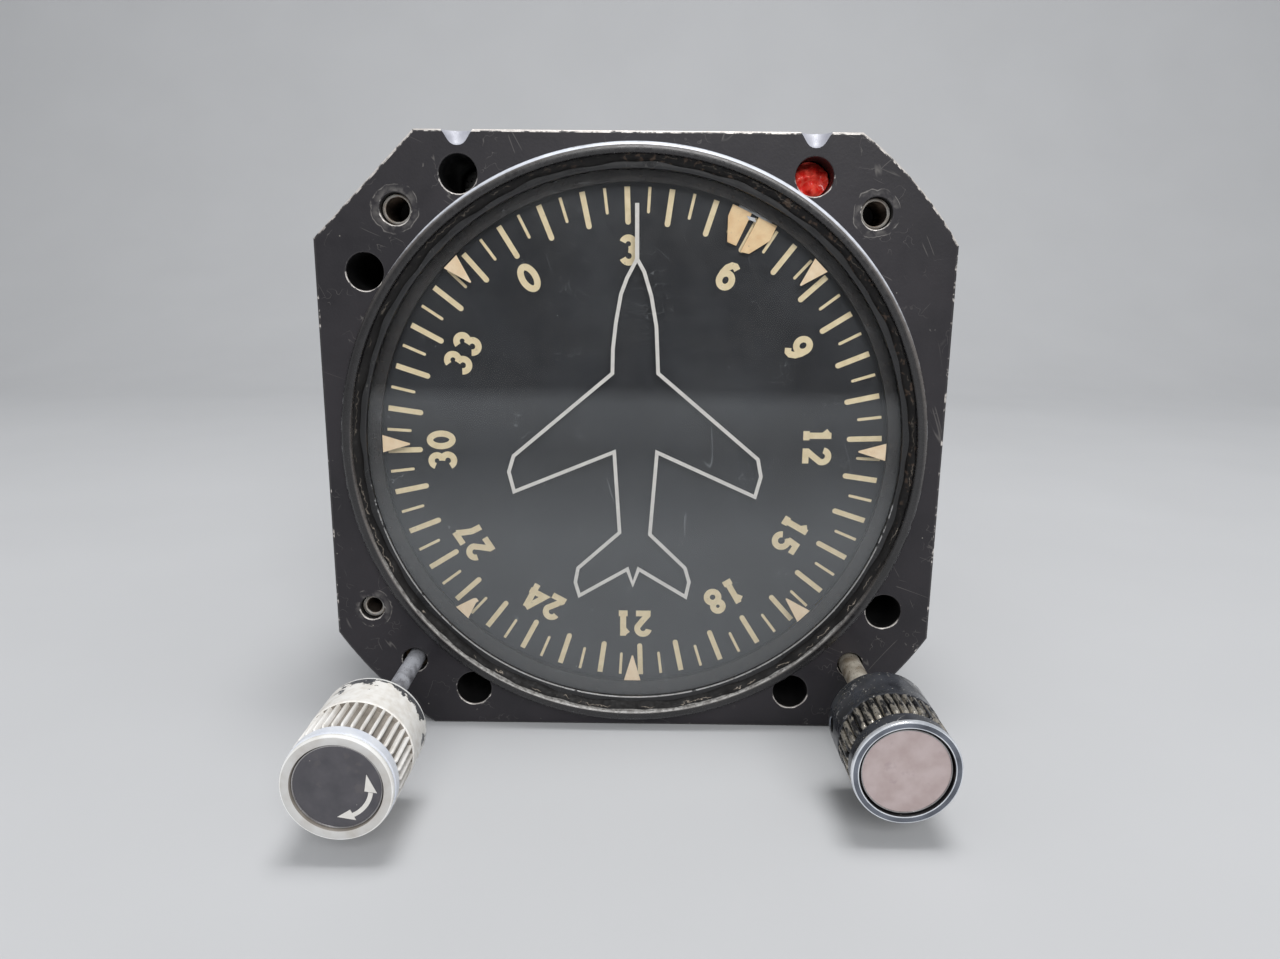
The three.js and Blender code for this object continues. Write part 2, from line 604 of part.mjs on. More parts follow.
function dialBridge() {
  const disc = rod(REAR_BORE_RADIUS - RUN_GAP, BRIDGE_DEPTH, bridgeRear);
  const neck = rod(BRIDGE_TUBE_RADIUS, BRIDGE_TUBE_FRONT, BRIDGE_TUBE_REAR);
  const ears = idlers.map(({ place: [x, z] }) =>
    rod(BRIDGE_EAR_RADIUS, BRIDGE_DEPTH, bridgeRear, x, z, MEDIUM_SEGMENTS));
  const legs = [0, Math.PI / 2, Math.PI].map((angle) => {
    const [x, z] = polar(BRIDGE_LEG_CENTRE_RADIUS, angle);
    return rod(BRIDGE_LEG_RADIUS, bridgeRear - BRIDGE_THICKNESS / 2, FRAME_DEPTH, x, z);
  });
  const seat = SPINDLE_BEARING_RADIUS + SEAT_GAP;
  const bearingEnd = SPINDLE_BEARING_LENGTH + SEAT_GAP;
  return cut(
    joined(disc, neck, ...ears, ...legs, ...idlerPosts()),
    rod(BRIDGE_TUBE_BORE, BRIDGE_TUBE_FRONT - OVERRUN, BRIDGE_TUBE_REAR + OVERRUN),
    rod(seat, BRIDGE_TUBE_FRONT - OVERRUN, BRIDGE_TUBE_FRONT + bearingEnd),
    rod(seat, BRIDGE_TUBE_REAR - bearingEnd, BRIDGE_TUBE_REAR + OVERRUN),
  );
}

piece('dial_bridge', dialBridge(), ALUMINIUM);
const bearing = (start) =>
  tube(SPINDLE_BEARING_RADIUS, SPINDLE_RADIUS + RUN_GAP, start, start + SPINDLE_BEARING_LENGTH);
piece('spindle_bearing_front', bearing(BRIDGE_TUBE_FRONT), STEEL);
piece('spindle_bearing_rear', bearing(BRIDGE_TUBE_REAR - SPINDLE_BEARING_LENGTH), STEEL);

function idlerGear([x, z], angle, start) {
  const outline = spurOutline(IDLER_TEETH, angle + Math.PI / IDLER_TEETH);
  const gear = plate(outline, start, start + GEAR_THICKNESS);
  const bore = rod(IDLER_POST_RADIUS + RUN_GAP, start - OVERRUN, start + GEAR_THICKNESS + OVERRUN);
  return cut(gear, bore).translate([x, 0, z]);
}

piece('bug_idler_gear', idlerGear(bugIdlerPlace, RIGHT_ANGLE_OF_SHAFT, BUG_GEAR_DEPTH), BRASS);
piece('setting_idler_gear', idlerGear(settingIdlerPlace, LEFT_ANGLE_OF_SHAFT, SETTING_GEAR_DEPTH), BRASS);

// Heading bug: a toothed disc on the bridge tube, and the two-part marker that reaches round the card
function ringGear(angle, start, boreRadius, hubRadius, hubEnd) {
  const hole = circlePoints(boreRadius, MEDIUM_SEGMENTS);
  const disc = plate(spurOutline(RING_TEETH, angle), start, start + GEAR_THICKNESS, [hole]);
  const hub = tube(hubRadius, boreRadius, start + GEAR_THICKNESS / 2, hubEnd, 0, 0, MEDIUM_SEGMENTS);
  return joined(disc, hub);
}

// The flats of the bore clear the corners of the tube in every position
const bugBore = (BRIDGE_TUBE_RADIUS + RUN_GAP) / Math.cos(Math.PI / MEDIUM_SEGMENTS);
const bugHubEnd = BRIDGE_DEPTH - BUG_PLATE_GAP;
piece('bug_gear', ringGear(
  RIGHT_ANGLE_OF_SHAFT, BUG_GEAR_DEPTH, bugBore, bugBore + GEAR_HUB_WALL, bugHubEnd,
), ALUMINIUM);

function headingBug() {
  const middle = toRadians(BUG_HEADING);
  const wedge = (inner, outer, innerHalf, outerHalf, from, to) => plate([
    polar(inner, middle - toRadians(innerHalf)), polar(outer, middle - toRadians(outerHalf)),
    polar(outer, middle), polar(outer, middle + toRadians(outerHalf)),
    polar(inner, middle + toRadians(innerHalf)),
  ], from, to);
  const front = GLASS_THICKNESS + MASK_THICKNESS + BUG_BLADE_GAP;
  const bladeRear = front + BUG_BLADE_THICKNESS;
  const blade = wedge(BUG_INNER_RADIUS, BUG_ARM_RADIUS, BUG_TIP_HALF_ANGLE, BUG_HALF_ANGLE, front, bladeRear);
  const slot = wedge(BUG_INNER_RADIUS - OVERRUN, CARD_RADIUS, BUG_SLOT_HALF_ANGLE, BUG_SLOT_HALF_ANGLE,
    front - OVERRUN, bladeRear + OVERRUN);
  const plateFront = CARD_DEPTH + CARD_THICKNESS + BUG_PLATE_GAP;
  const arm = wedge(BUG_ARM_INNER_RADIUS, BUG_ARM_RADIUS, BUG_TIP_HALF_ANGLE, BUG_TIP_HALF_ANGLE,
    front, plateFront + BUG_PLATE_THICKNESS);
  const strap = wedge(BUG_FOOT_INNER_RADIUS, BUG_ARM_RADIUS, BUG_TIP_HALF_ANGLE, BUG_TIP_HALF_ANGLE,
    plateFront, plateFront + BUG_PLATE_THICKNESS);
  const foot = wedge(BUG_FOOT_INNER_RADIUS, BUG_FOOT_RADIUS, BUG_TIP_HALF_ANGLE, BUG_TIP_HALF_ANGLE,
    plateFront, BUG_GEAR_DEPTH);
  return joined(cut(blade, slot), arm, strap, foot);
}

piece('heading_bug', headingBug(), CREAM_PAINT);

// Card, spindle, setting gear and the bevel gear at the spindle's rear end
const cardBack = CARD_DEPTH + CARD_THICKNESS;
const bevelHubRear = GIMBAL_DEPTH - BEVEL_HUB_FRONT;
const cardHubRadius = SPINDLE_RADIUS + RUN_GAP + GEAR_HUB_WALL / 2;
const cardBore = SPINDLE_RADIUS + SEAT_GAP;
const cardHubStart = cardBack - CARD_THICKNESS / 2;
const cardHubEnd = BRIDGE_TUBE_FRONT - RUN_GAP;
piece('compass_card', joined(
  rod(CARD_RADIUS, CARD_DEPTH, cardBack),
  tube(cardHubRadius, cardBore, cardHubStart, cardHubEnd, 0, 0, MEDIUM_SEGMENTS),
), CARD_BLACK);
piece('card_spindle', rod(SPINDLE_RADIUS, cardBack + RUN_GAP, bevelHubRear), STEEL);
piece('setting_gear', ringGear(LEFT_ANGLE_OF_SHAFT, SETTING_GEAR_DEPTH, SPINDLE_RADIUS + SEAT_GAP,
  SPINDLE_RADIUS + GEAR_HUB_WALL, SETTING_GEAR_DEPTH + SETTING_HUB_LENGTH), BRASS);

// The gap of the card gear and a tooth of the azimuth gear meet at the lowest point of the card gear
const lowest = -Math.PI / 2;
const bevelStep = TURN / BEVEL_TEETH;
const cardBevel = bevelDish(cardBore, lowest + bevelStep / 2);
piece('card_bevel_gear', cardBevel.translate([0, GIMBAL_DEPTH, 0]), BRASS);

// Case
const bossFoot = CASE_BORE_RADIUS - GIMBAL_BOSS_DEPTH + CASE_WALL;
const bossTop = CASE_RADIUS + GIMBAL_BOSS_STAND;
const coverScrews = Array.from({ length: COVER_SCREW_COUNT }, (_, i) =>
  polar(COVER_SCREW_CENTRE_RADIUS, Math.PI / COVER_SCREW_COUNT + (i * TURN) / COVER_SCREW_COUNT));

function caseBody() {
  const flangeRear = FRAME_DEPTH + CASE_FLANGE;
  const flange = plate(frameOutline(), FRAME_DEPTH, flangeRear);
  const can = rod(CASE_RADIUS, flangeRear - CASE_FLANGE / 2, CASE_LENGTH);
  const hollow = turned([
    [0, FRAME_DEPTH - OVERRUN], [CASE_LIP_RADIUS, FRAME_DEPTH - OVERRUN], [CASE_LIP_RADIUS, flangeRear],
    [CASE_BORE_RADIUS, flangeRear], [CASE_BORE_RADIUS, CASE_LENGTH + OVERRUN], [0, CASE_LENGTH + OVERRUN],
  ], LARGE_SEGMENTS);
  const gimbalBosses = [1, -1].map((up) => {
    const [low, high] = [up * bossFoot, up * bossTop].sort((a, b) => a - b);
    return turnedUpright([[0, low], [GIMBAL_BOSS_RADIUS, low], [GIMBAL_BOSS_RADIUS, high], [0, high]])
      .translate([0, GIMBAL_DEPTH, 0]);
  });
  const screwBosses = coverScrews.map(([x, z]) =>
    rod(CASE_BOSS_RADIUS, CASE_LENGTH - CASE_BOSS_LENGTH, CASE_LENGTH, x, z, MEDIUM_SEGMENTS)
      .intersect(rod(CASE_BORE_RADIUS + CASE_WALL / 2, 0, CASE_LENGTH)));
  const pods = sides.map(({ x }) =>
    rod(SHAFT_POD_RADIUS, FRAME_DEPTH + CASE_FLANGE / 2, FRAME_DEPTH + SHAFT_POD_LENGTH, x, -KNOB_OFFSET));
  const gimbalBore = GIMBAL_BEARING_RADIUS + SEAT_GAP;
  const throughBore = turnedUpright([
    [0, -bossTop - OVERRUN], [gimbalBore, -bossTop - OVERRUN],
    [gimbalBore, bossTop + OVERRUN], [0, bossTop + OVERRUN],
  ]).translate([0, GIMBAL_DEPTH, 0]);
  const podEnd = FRAME_DEPTH + SHAFT_POD_LENGTH - CASE_WALL / 2;
  const [flangeFrom, flangeTo] = [FRAME_DEPTH - OVERRUN, flangeRear + OVERRUN];
  const tapFrom = CASE_LENGTH - COVER_SCREW_LENGTH;
  const [rodX, rodZ] = polar(CAGING_ROD_CENTRE_RADIUS, LEFT_ANGLE_OF_SHAFT);
  return cut(
    joined(cut(joined(flange, can), hollow), ...gimbalBosses, ...screwBosses, ...pods),
    throughBore,
    ...coverScrews.map(([x, z]) => rod(SCREW_RADIUS, tapFrom, CASE_LENGTH + OVERRUN, x, z)),
    ...caseScrews.map(([x, z]) => rod(SCREW_RADIUS + SEAT_GAP, flangeFrom, flangeTo, x, z)),
    ...sides.map(({ x, shaft }) => rod(shaft + RUN_GAP, flangeFrom, podEnd, x, -KNOB_OFFSET)),
    rod(CAGING_ROD_RADIUS + POCKET_GAP, flangeFrom, flangeTo, rodX, rodZ),
  );
}

piece('case_body', caseBody(), CASE_PAINT);

// Gimbal bearings and the caps that close their bores
['upper', 'lower'].forEach((name, i) => {
  const up = i === 0 ? 1 : -1;
  const outer = up * (bossTop - GIMBAL_BEARING_INSET);
  const inner = outer - up * GIMBAL_BEARING_THICKNESS;
  const hole = GIMBAL_PIVOT_RADIUS + RUN_GAP;
  piece(`${name}_gimbal_bearing`, turnedUpright([
    [hole, inner], [GIMBAL_BEARING_RADIUS, inner], [GIMBAL_BEARING_RADIUS, outer], [hole, outer],
  ]).translate([0, GIMBAL_DEPTH, 0]), STEEL);
  const lid = up * (bossTop + GIMBAL_CAP_THICKNESS);
  const nose = outer + up * SEAT_GAP;
  piece(`${name}_bearing_cap`, turnedUpright([
    [0, nose], [GIMBAL_BEARING_RADIUS, nose], [GIMBAL_BEARING_RADIUS, up * bossTop],
    [GIMBAL_BOSS_RADIUS, up * bossTop], [GIMBAL_BOSS_RADIUS, lid], [0, lid],
  ]).translate([0, GIMBAL_DEPTH, 0]), ALUMINIUM);
});

// Rear cover with its gasket and screws
function rearCover() {
  const front = CASE_LENGTH + GASKET_THICKNESS;
  const spigot = CASE_BORE_RADIUS - RUN_GAP;
  const spigotEnd = front - COVER_SPIGOT_LENGTH;
  const bossWell = CASE_BOSS_RADIUS + POCKET_GAP;
  const [through, behind] = [front - OVERRUN, REAR_FACE + OVERRUN];
  const body = turned([
    [0, front], [spigot - COVER_SPIGOT_WALL, front], [spigot - COVER_SPIGOT_WALL, spigotEnd],
    [spigot, spigotEnd], [spigot, front], [CASE_RADIUS, front],
    [CASE_RADIUS, REAR_FACE - COVER_EDGE], [CASE_RADIUS - COVER_EDGE, REAR_FACE], [0, REAR_FACE],
  ]);
  return cut(
    body,
    ...coverScrews.map(([x, z]) => rod(bossWell, spigotEnd - OVERRUN, front, x, z, MEDIUM_SEGMENTS)),
    ...coverScrews.map(([x, z]) => rod(SCREW_RADIUS + SEAT_GAP, through, behind, x, z)),
    rod(FILTER_NECK_RADIUS + SEAT_GAP, through, behind, 0, FILTER_OFFSET_Z, HIDDEN_SEGMENTS),
    rod(PORT_STEM_RADIUS + SEAT_GAP, through, behind, PORT_OFFSET_X, PORT_OFFSET_Z),
    rod(CONNECTOR_RADIUS + SEAT_GAP, through, behind, CONNECTOR_OFFSET_X, CONNECTOR_OFFSET_Z),
  );
}

piece('rear_cover', rearCover(), CASE_PAINT);
const gasketRear = CASE_LENGTH + GASKET_THICKNESS;
piece('rear_gasket', tube(CASE_RADIUS, CASE_BORE_RADIUS, CASE_LENGTH, gasketRear), RUBBER);
coverScrews.forEach(([x, z], i) => {
  const head = REAR_FACE + SCREW_HEAD_HEIGHT;
  const tip = CASE_LENGTH - COVER_SCREW_LENGTH + OVERRUN;
  const shank = rod(SCREW_RADIUS - SEAT_GAP, tip, REAR_FACE + SCREW_SLOT_DEPTH, x, z);
  const slot = block(2 * SCREW_HEAD_RADIUS + OVERRUN, 2 * SCREW_SLOT_DEPTH, SCREW_SLOT_WIDTH, x, head, z);
  const solid = cut(joined(shank, rod(SCREW_HEAD_RADIUS, REAR_FACE, head, x, z, MEDIUM_SEGMENTS)), slot);
  piece(`cover_screw_${i + 1}`, solid, STEEL);
});

// Air filter: a cup with a slotted rear wall, screwed into the cover by its neck, and the element in it
const filterRear = REAR_FACE + FILTER_LENGTH;
const filterInside = FILTER_RADIUS - FILTER_WALL;

function filterHousing() {
  const coverFront = REAR_FACE - COVER_THICKNESS;
  const neckBore = FILTER_NECK_RADIUS - FILTER_WALL;
  const cup = turned([
    [neckBore, coverFront], [FILTER_NECK_RADIUS, coverFront], [FILTER_NECK_RADIUS, REAR_FACE],
    [FILTER_RADIUS, REAR_FACE], [FILTER_RADIUS, filterRear - FILTER_EDGE],
    [FILTER_RADIUS - FILTER_EDGE, filterRear],
    [0, filterRear], [0, filterRear - FILTER_WALL], [filterInside, filterRear - FILTER_WALL],
    [filterInside, REAR_FACE + FILTER_WALL], [neckBore, REAR_FACE + FILTER_WALL],
  ], HIDDEN_SEGMENTS);
  const slotLength = filterInside - 2 * FILTER_HUB_RADIUS;
  const slots = Array.from({ length: FILTER_SLOTS }, (_, i) => solidOf(
    new THREE.BoxGeometry(slotLength, FILTER_WALL + OVERRUN, FILTER_SLOT_WIDTH)
      .translate(FILTER_HUB_RADIUS + slotLength / 2 + FILTER_EDGE, filterRear - FILTER_WALL / 2, 0)
      .rotateY((i * TURN) / FILTER_SLOTS)));
  return cut(cup, ...slots).translate([0, 0, FILTER_OFFSET_Z]);
}

piece('filter_housing', filterHousing(), ALUMINIUM);
const elementRear = filterRear - FILTER_WALL;
const elementFront = elementRear - FILTER_ELEMENT_LENGTH;
const element = rod(filterInside - SEAT_GAP, elementFront, elementRear, 0, FILTER_OFFSET_Z, HIDDEN_SEGMENTS);
piece('filter_element', element, finish(0xc9bfa6, 0.95, 0));

// Vacuum port: a hexagon with a threaded nipple, screwed into the cover
function vacuumPort() {
  const hexEnd = REAR_FACE + PORT_HEX_LENGTH;
  const hex = solidOf(new THREE.CylinderGeometry(PORT_HEX_RADIUS, PORT_HEX_RADIUS, PORT_HEX_LENGTH, 6)
    .translate(0, REAR_FACE + PORT_HEX_LENGTH / 2, 0));
  const nipple = rod(PORT_NIPPLE_RADIUS, hexEnd - OVERRUN, hexEnd + PORT_NIPPLE_LENGTH);
  const coverFront = REAR_FACE - COVER_THICKNESS;
  const stem = rod(PORT_STEM_RADIUS, coverFront, REAR_FACE + OVERRUN);
  const bore = rod(PORT_BORE_RADIUS, coverFront - OVERRUN, hexEnd + PORT_NIPPLE_LENGTH + OVERRUN);
  return cut(joined(hex, nipple, stem), bore).translate([PORT_OFFSET_X, 0, PORT_OFFSET_Z]);
}

piece('vacuum_port', vacuumPort(), ALUMINIUM);

// Electrical connector: a shell with five keys on a square flange, and its insulator with pins
function connectorShell() {
  const half = CONNECTOR_FLANGE_SIZE / 2;
  const flangeRear = REAR_FACE + CONNECTOR_FLANGE_THICKNESS;
  const flange = plate([[-half, -half], [half, -half], [half, half], [-half, half]], REAR_FACE, flangeRear);
  const shellEnd = REAR_FACE + CONNECTOR_LENGTH;
  const coverFront = REAR_FACE - COVER_THICKNESS;
  const shell = rod(CONNECTOR_RADIUS, coverFront, shellEnd);
  const bore = rod(CONNECTOR_RADIUS - CONNECTOR_WALL, coverFront - OVERRUN, shellEnd + OVERRUN);
  const keyway = block(CONNECTOR_KEY_WIDTH, CONNECTOR_LENGTH / 2, CONNECTOR_WALL, 0,
    shellEnd - CONNECTOR_LENGTH / 4 + OVERRUN / 2, CONNECTOR_RADIUS - CONNECTOR_WALL);
  return cut(joined(flange, shell), bore, keyway).translate([CONNECTOR_OFFSET_X, 0, CONNECTOR_OFFSET_Z]);
}

function connectorInsert() {
  const radius = CONNECTOR_RADIUS - CONNECTOR_WALL - SEAT_GAP;
  const end = REAR_FACE - COVER_THICKNESS + CONNECTOR_INSERT_LENGTH;
  const insulator = rod(radius, REAR_FACE - COVER_THICKNESS, end);
  const around = CONNECTOR_PIN_COUNT - 1;
  const pins = Array.from({ length: around }, (_, i) =>
    polar(CONNECTOR_PIN_CENTRE_RADIUS, (i * TURN) / around));
  pins.push([0, 0]);
  const pinEnd = end + CONNECTOR_PIN_LENGTH;
  const bodies = pins.map(([x, z]) =>
    rod(CONNECTOR_PIN_RADIUS, end - OVERRUN, pinEnd, x, z, CONNECTOR_PIN_SIDES));
  return joined(insulator, ...bodies).translate([CONNECTOR_OFFSET_X, 0, CONNECTOR_OFFSET_Z]);
}

piece('connector_shell', connectorShell(), ALUMINIUM);
piece('connector_insert', connectorInsert(), RUBBER);

// Outer gimbal: a vertical ring with upright pivots, which carries the azimuth gear and the air nozzle
const outerInner = OUTER_RING_RADIUS - OUTER_RING_THICKNESS;

function sidewaysRod(radius, from, to, segments = undefined) {
  return turnedSideways([[0, from], [radius, from], [radius, to], [0, to]], segments);
}

function uprightRod(radius, from, to, segments = undefined) {
  return turnedUpright([[0, from], [radius, from], [radius, to], [0, to]], segments);
}

function outerGimbal() {
  const halfWidth = OUTER_RING_WIDTH / 2;
  const ring = tube(OUTER_RING_RADIUS, outerInner, -halfWidth, halfWidth, 0, 0, HIDDEN_SEGMENTS);
  const seatTop = OUTER_RING_RADIUS + SEAT_GAP;
  const middle = OUTER_RING_RADIUS - OUTER_RING_THICKNESS / 2;
  const pivots = [1, -1].flatMap((up) => {
    const order = (from, to) => [up * from, up * to].sort((a, b) => a - b);
    return [
      uprightRod(AZIMUTH_HUB_BORE - SEAT_GAP, ...order(middle, BEVEL_HUB_REAR)),
      uprightRod(GIMBAL_PIVOT_RADIUS, ...order(seatTop, OUTER_RING_RADIUS + GIMBAL_PIVOT_LENGTH)),
    ];
  });
  const bosses = [1, -1].map((right) => {
    const ends = [right * middle, right * OUTER_RING_RADIUS].sort((a, b) => a - b);
    return sidewaysRod(INNER_BOSS_RADIUS, ...ends, MEDIUM_SEGMENTS);
  });
  const side = OUTER_RING_RADIUS + OVERRUN;
  const hole = sidewaysRod(INNER_PIVOT_RADIUS + RUN_GAP, -side, side);
  const nozzleHole = uprightRod(NOZZLE_RADIUS + SEAT_GAP, -middle, 0);
  return cut(joined(ring, ...pivots, ...bosses), hole, nozzleHole).translate([0, GIMBAL_DEPTH, 0]);
}

piece('outer_gimbal', outerGimbal(), ALUMINIUM);

// The azimuth gear is the same dish as the card gear, turned so that it opens downwards
const azimuthTooth = Math.PI / 2;
const azimuthGear = bevelDish(AZIMUTH_HUB_BORE, azimuthTooth)
  .rotate([90, 0, 0]).translate([0, GIMBAL_DEPTH, 0]);
piece('azimuth_gear', azimuthGear, BRASS);

function airNozzle() {
  const foot = OUTER_RING_RADIUS - OUTER_RING_THICKNESS / 2 - SEAT_GAP;
  const sweep = Math.hypot(ROTOR_RADIUS, ROTOR_WIDTH / 2);
  const tip = sweep + NOZZLE_GAP;
  const cone = turnedUpright([
    [NOZZLE_BORE_RADIUS, -foot], [NOZZLE_RADIUS, -foot], [NOZZLE_RADIUS, -(tip + foot) / 2],
    [2 * NOZZLE_BORE_RADIUS, -tip], [NOZZLE_BORE_RADIUS, -tip],
  ]);
  return cone.translate([0, GIMBAL_DEPTH, 0]);
}

piece('air_nozzle', airNozzle(), BRASS);

// Inner gimbal: a level ring with its pivots, which carries the rotor's bearings
function innerGimbal() {
  const half = INNER_RING_WIDTH / 2;
  const inner = INNER_RING_RADIUS - INNER_RING_THICKNESS;
  const ring = turnedUpright([
    [inner, -half], [INNER_RING_RADIUS, -half], [INNER_RING_RADIUS, half], [inner, half],
  ], HIDDEN_SEGMENTS);
  const middle = INNER_RING_RADIUS - INNER_RING_THICKNESS / 2;
  const pivots = [1, -1].map((right) => {
    const ends = [right * middle, right * (OUTER_RING_RADIUS - RUN_GAP)].sort((a, b) => a - b);
    return sidewaysRod(INNER_PIVOT_RADIUS, ...ends);
  });
  const end = INNER_RING_RADIUS + OVERRUN;
  const seats = rod(ROTOR_BEARING_RADIUS + SEAT_GAP, -end, end);
  return cut(joined(ring, ...pivots), seats).translate([0, GIMBAL_DEPTH, 0]);
}

piece('inner_gimbal', innerGimbal(), ALUMINIUM);
const rotorBearingEnd = INNER_RING_RADIUS - SEAT_GAP;
['front', 'rear'].forEach((name, i) => {
  const ends = [rotorBearingEnd - ROTOR_BEARING_LENGTH, rotorBearingEnd]
    .map((y) => (i === 0 ? -y : y)).sort((a, b) => a - b);
  const solid = tube(ROTOR_BEARING_RADIUS, ROTOR_PIVOT_RADIUS + RUN_GAP, ...ends, 0, 0, SMALL_SEGMENTS);
  piece(`rotor_bearing_${name}`, solid.translate([0, GIMBAL_DEPTH, 0]), STEEL);
});

// Rotor: a heavy rim with air buckets, on its shaft
function rotor() {
  const half = ROTOR_WIDTH / 2;
  const web = ROTOR_WEB / 2;
  const bore = ROTOR_SHAFT_RADIUS + SEAT_GAP;
  const rim = ROTOR_RADIUS - ROTOR_RIM;
  const body = turned([
    [bore, -half], [ROTOR_HUB_RADIUS, -half], [ROTOR_HUB_RADIUS, -web], [rim, -web], [rim, -half],
    [ROTOR_RADIUS, -half], [ROTOR_RADIUS, half], [rim, half], [rim, web], [ROTOR_HUB_RADIUS, web],
    [ROTOR_HUB_RADIUS, half], [bore, half],
  ], HIDDEN_SEGMENTS);
  const buckets = Array.from({ length: ROTOR_BUCKETS }, (_, i) => solidOf(
    new THREE.BoxGeometry(2 * ROTOR_BUCKET_DEPTH, ROTOR_BUCKET_LENGTH, ROTOR_BUCKET_WIDTH)
      .translate(ROTOR_RADIUS, 0, 0).rotateY((i * TURN) / ROTOR_BUCKETS)));
  return cut(body, ...buckets).translate([0, GIMBAL_DEPTH, 0]);
}

piece('rotor', rotor(), STEEL);
const shoulder = INNER_RING_RADIUS - INNER_RING_THICKNESS - RUN_GAP;
piece('rotor_shaft', turned([
  [0, -rotorBearingEnd], [ROTOR_PIVOT_RADIUS, -rotorBearingEnd], [ROTOR_PIVOT_RADIUS, -shoulder],
  [ROTOR_SHAFT_RADIUS, -shoulder], [ROTOR_SHAFT_RADIUS, shoulder], [ROTOR_PIVOT_RADIUS, shoulder],
  [ROTOR_PIVOT_RADIUS, rotorBearingEnd], [0, rotorBearingEnd],
]).translate([0, GIMBAL_DEPTH, 0]), STEEL);

// Knobs: a plain collar, a fluted grip, a plain band and a recessed face
function fluteOutline(radius) {
  const step = TURN / FLUTE_COUNT;
  return Array.from({ length: FLUTE_COUNT }, (_, i) => i * step).flatMap((middle) => [
    polar(radius, middle), polar(radius - FLUTE_DEPTH, middle + step / 2),
  ]);
}

function knob(reach, length, radius, shaftRadius, screwSide) {
  const front = -reach;
  const rear = front + length;
  const collarFront = rear - length * KNOB_COLLAR_SHARE;
  const fluteFront = collarFront - length * KNOB_FLUTE_SHARE;
  const core = radius - FLUTE_DEPTH - KNOB_EDGE / 2;
  const band = radius - KNOB_EDGE / 2;
  const recess = KNOB_FACE_RECESS + KNOB_INSERT_THICKNESS;
  const seat = KNOB_INSERT_RADIUS + SEAT_GAP;
  const body = turned([
    [0, rear], [radius - KNOB_EDGE, rear], [radius, rear - KNOB_EDGE], [radius, collarFront],
    [core, collarFront], [core, fluteFront], [band, fluteFront], [band, front + KNOB_LIP],
    [radius - KNOB_LIP / 2, front], [seat, front], [seat, front + recess], [0, front + recess],
  ], HIDDEN_SEGMENTS);
  const overlap = KNOB_EDGE / 4;
  const grip = plate(fluteOutline(radius - KNOB_EDGE / 3), fluteFront - overlap, collarFront + overlap);
  const bore = rod(shaftRadius + SEAT_GAP, rear - KNOB_BORE_LENGTH, rear + OVERRUN);
  const screwPlace = rear - (length * KNOB_COLLAR_SHARE) / 2;
  const [from, to] = [shaftRadius, radius + OVERRUN].map((x) => screwSide * x).sort((a, b) => a - b);
  const screwHole = sidewaysRod(SET_SCREW_RADIUS + SEAT_GAP, from, to).translate([0, screwPlace, 0]);
  return cut(joined(body, grip), bore, screwHole);
}

function setScrew(reach, length, radius, shaftRadius, screwSide) {
  const place = -reach + length - (length * KNOB_COLLAR_SHARE) / 2;
  const [from, to] = [shaftRadius + SEAT_GAP, radius - KNOB_EDGE]
    .map((x) => screwSide * x).sort((a, b) => a - b);
  return sidewaysRod(SET_SCREW_RADIUS, from, to, SMALL_SEGMENTS).translate([0, place, 0]);
}

function pinion(start, angle) {
  return plate(spurOutline(PINION_TEETH, angle + Math.PI), start, start + PINION_LENGTH);
}

function knobInsert(reach) {
  const front = -reach + KNOB_FACE_RECESS;
  return rod(KNOB_INSERT_RADIUS, front, front + KNOB_INSERT_THICKNESS - SEAT_GAP, 0, 0, HIDDEN_SEGMENTS);
}

// The left knob cages the gyro and sets the card, and the right knob turns the heading bug
const atCageKnob = (solid) => solid.translate([-KNOB_OFFSET, 0, -KNOB_OFFSET]);
const atBugKnob = (solid) => solid.translate([KNOB_OFFSET, 0, -KNOB_OFFSET]);
const cageKnobSizes = [CAGE_KNOB_REACH, CAGE_KNOB_LENGTH, CAGE_KNOB_RADIUS, CAGE_SHAFT_RADIUS, -1];
const bugKnobSizes = [BUG_KNOB_REACH, BUG_KNOB_LENGTH, BUG_KNOB_RADIUS, BUG_SHAFT_RADIUS, -1];
piece('cage_knob', atCageKnob(knob(...cageKnobSizes)), BARE_ALUMINIUM);
piece('cage_knob_face', atCageKnob(knobInsert(CAGE_KNOB_REACH)), finish(0x4c4b50, 0.5, 0));
piece('cage_knob_screw', atCageKnob(setScrew(...cageKnobSizes)), STEEL);
piece('bug_knob', atBugKnob(knob(...bugKnobSizes)), finish(0x26272c, 0.3, 0.6));
piece('bug_knob_face', atBugKnob(knobInsert(BUG_KNOB_REACH)), finish(0xa08d8c, 0.55, 0));
piece('bug_knob_screw', atBugKnob(setScrew(...bugKnobSizes)), STEEL);

function knobShaft(reach, length, radius) {
  const front = -reach + length - KNOB_BORE_LENGTH + SEAT_GAP;
  return rod(radius, front, FRAME_DEPTH + SHAFT_END_BEHIND_FRAME);
}

piece('bug_shaft', atBugKnob(joined(
  knobShaft(BUG_KNOB_REACH, BUG_KNOB_LENGTH, BUG_SHAFT_RADIUS),
  pinion(BUG_PINION_DEPTH, RIGHT_ANGLE_OF_SHAFT),
)), STEEL);

const grooveFront = COLLAR_DEPTH + COLLAR_FLANGE;
const grooveRear = grooveFront + COLLAR_GROOVE;
const collarRear = grooveRear + COLLAR_FLANGE;

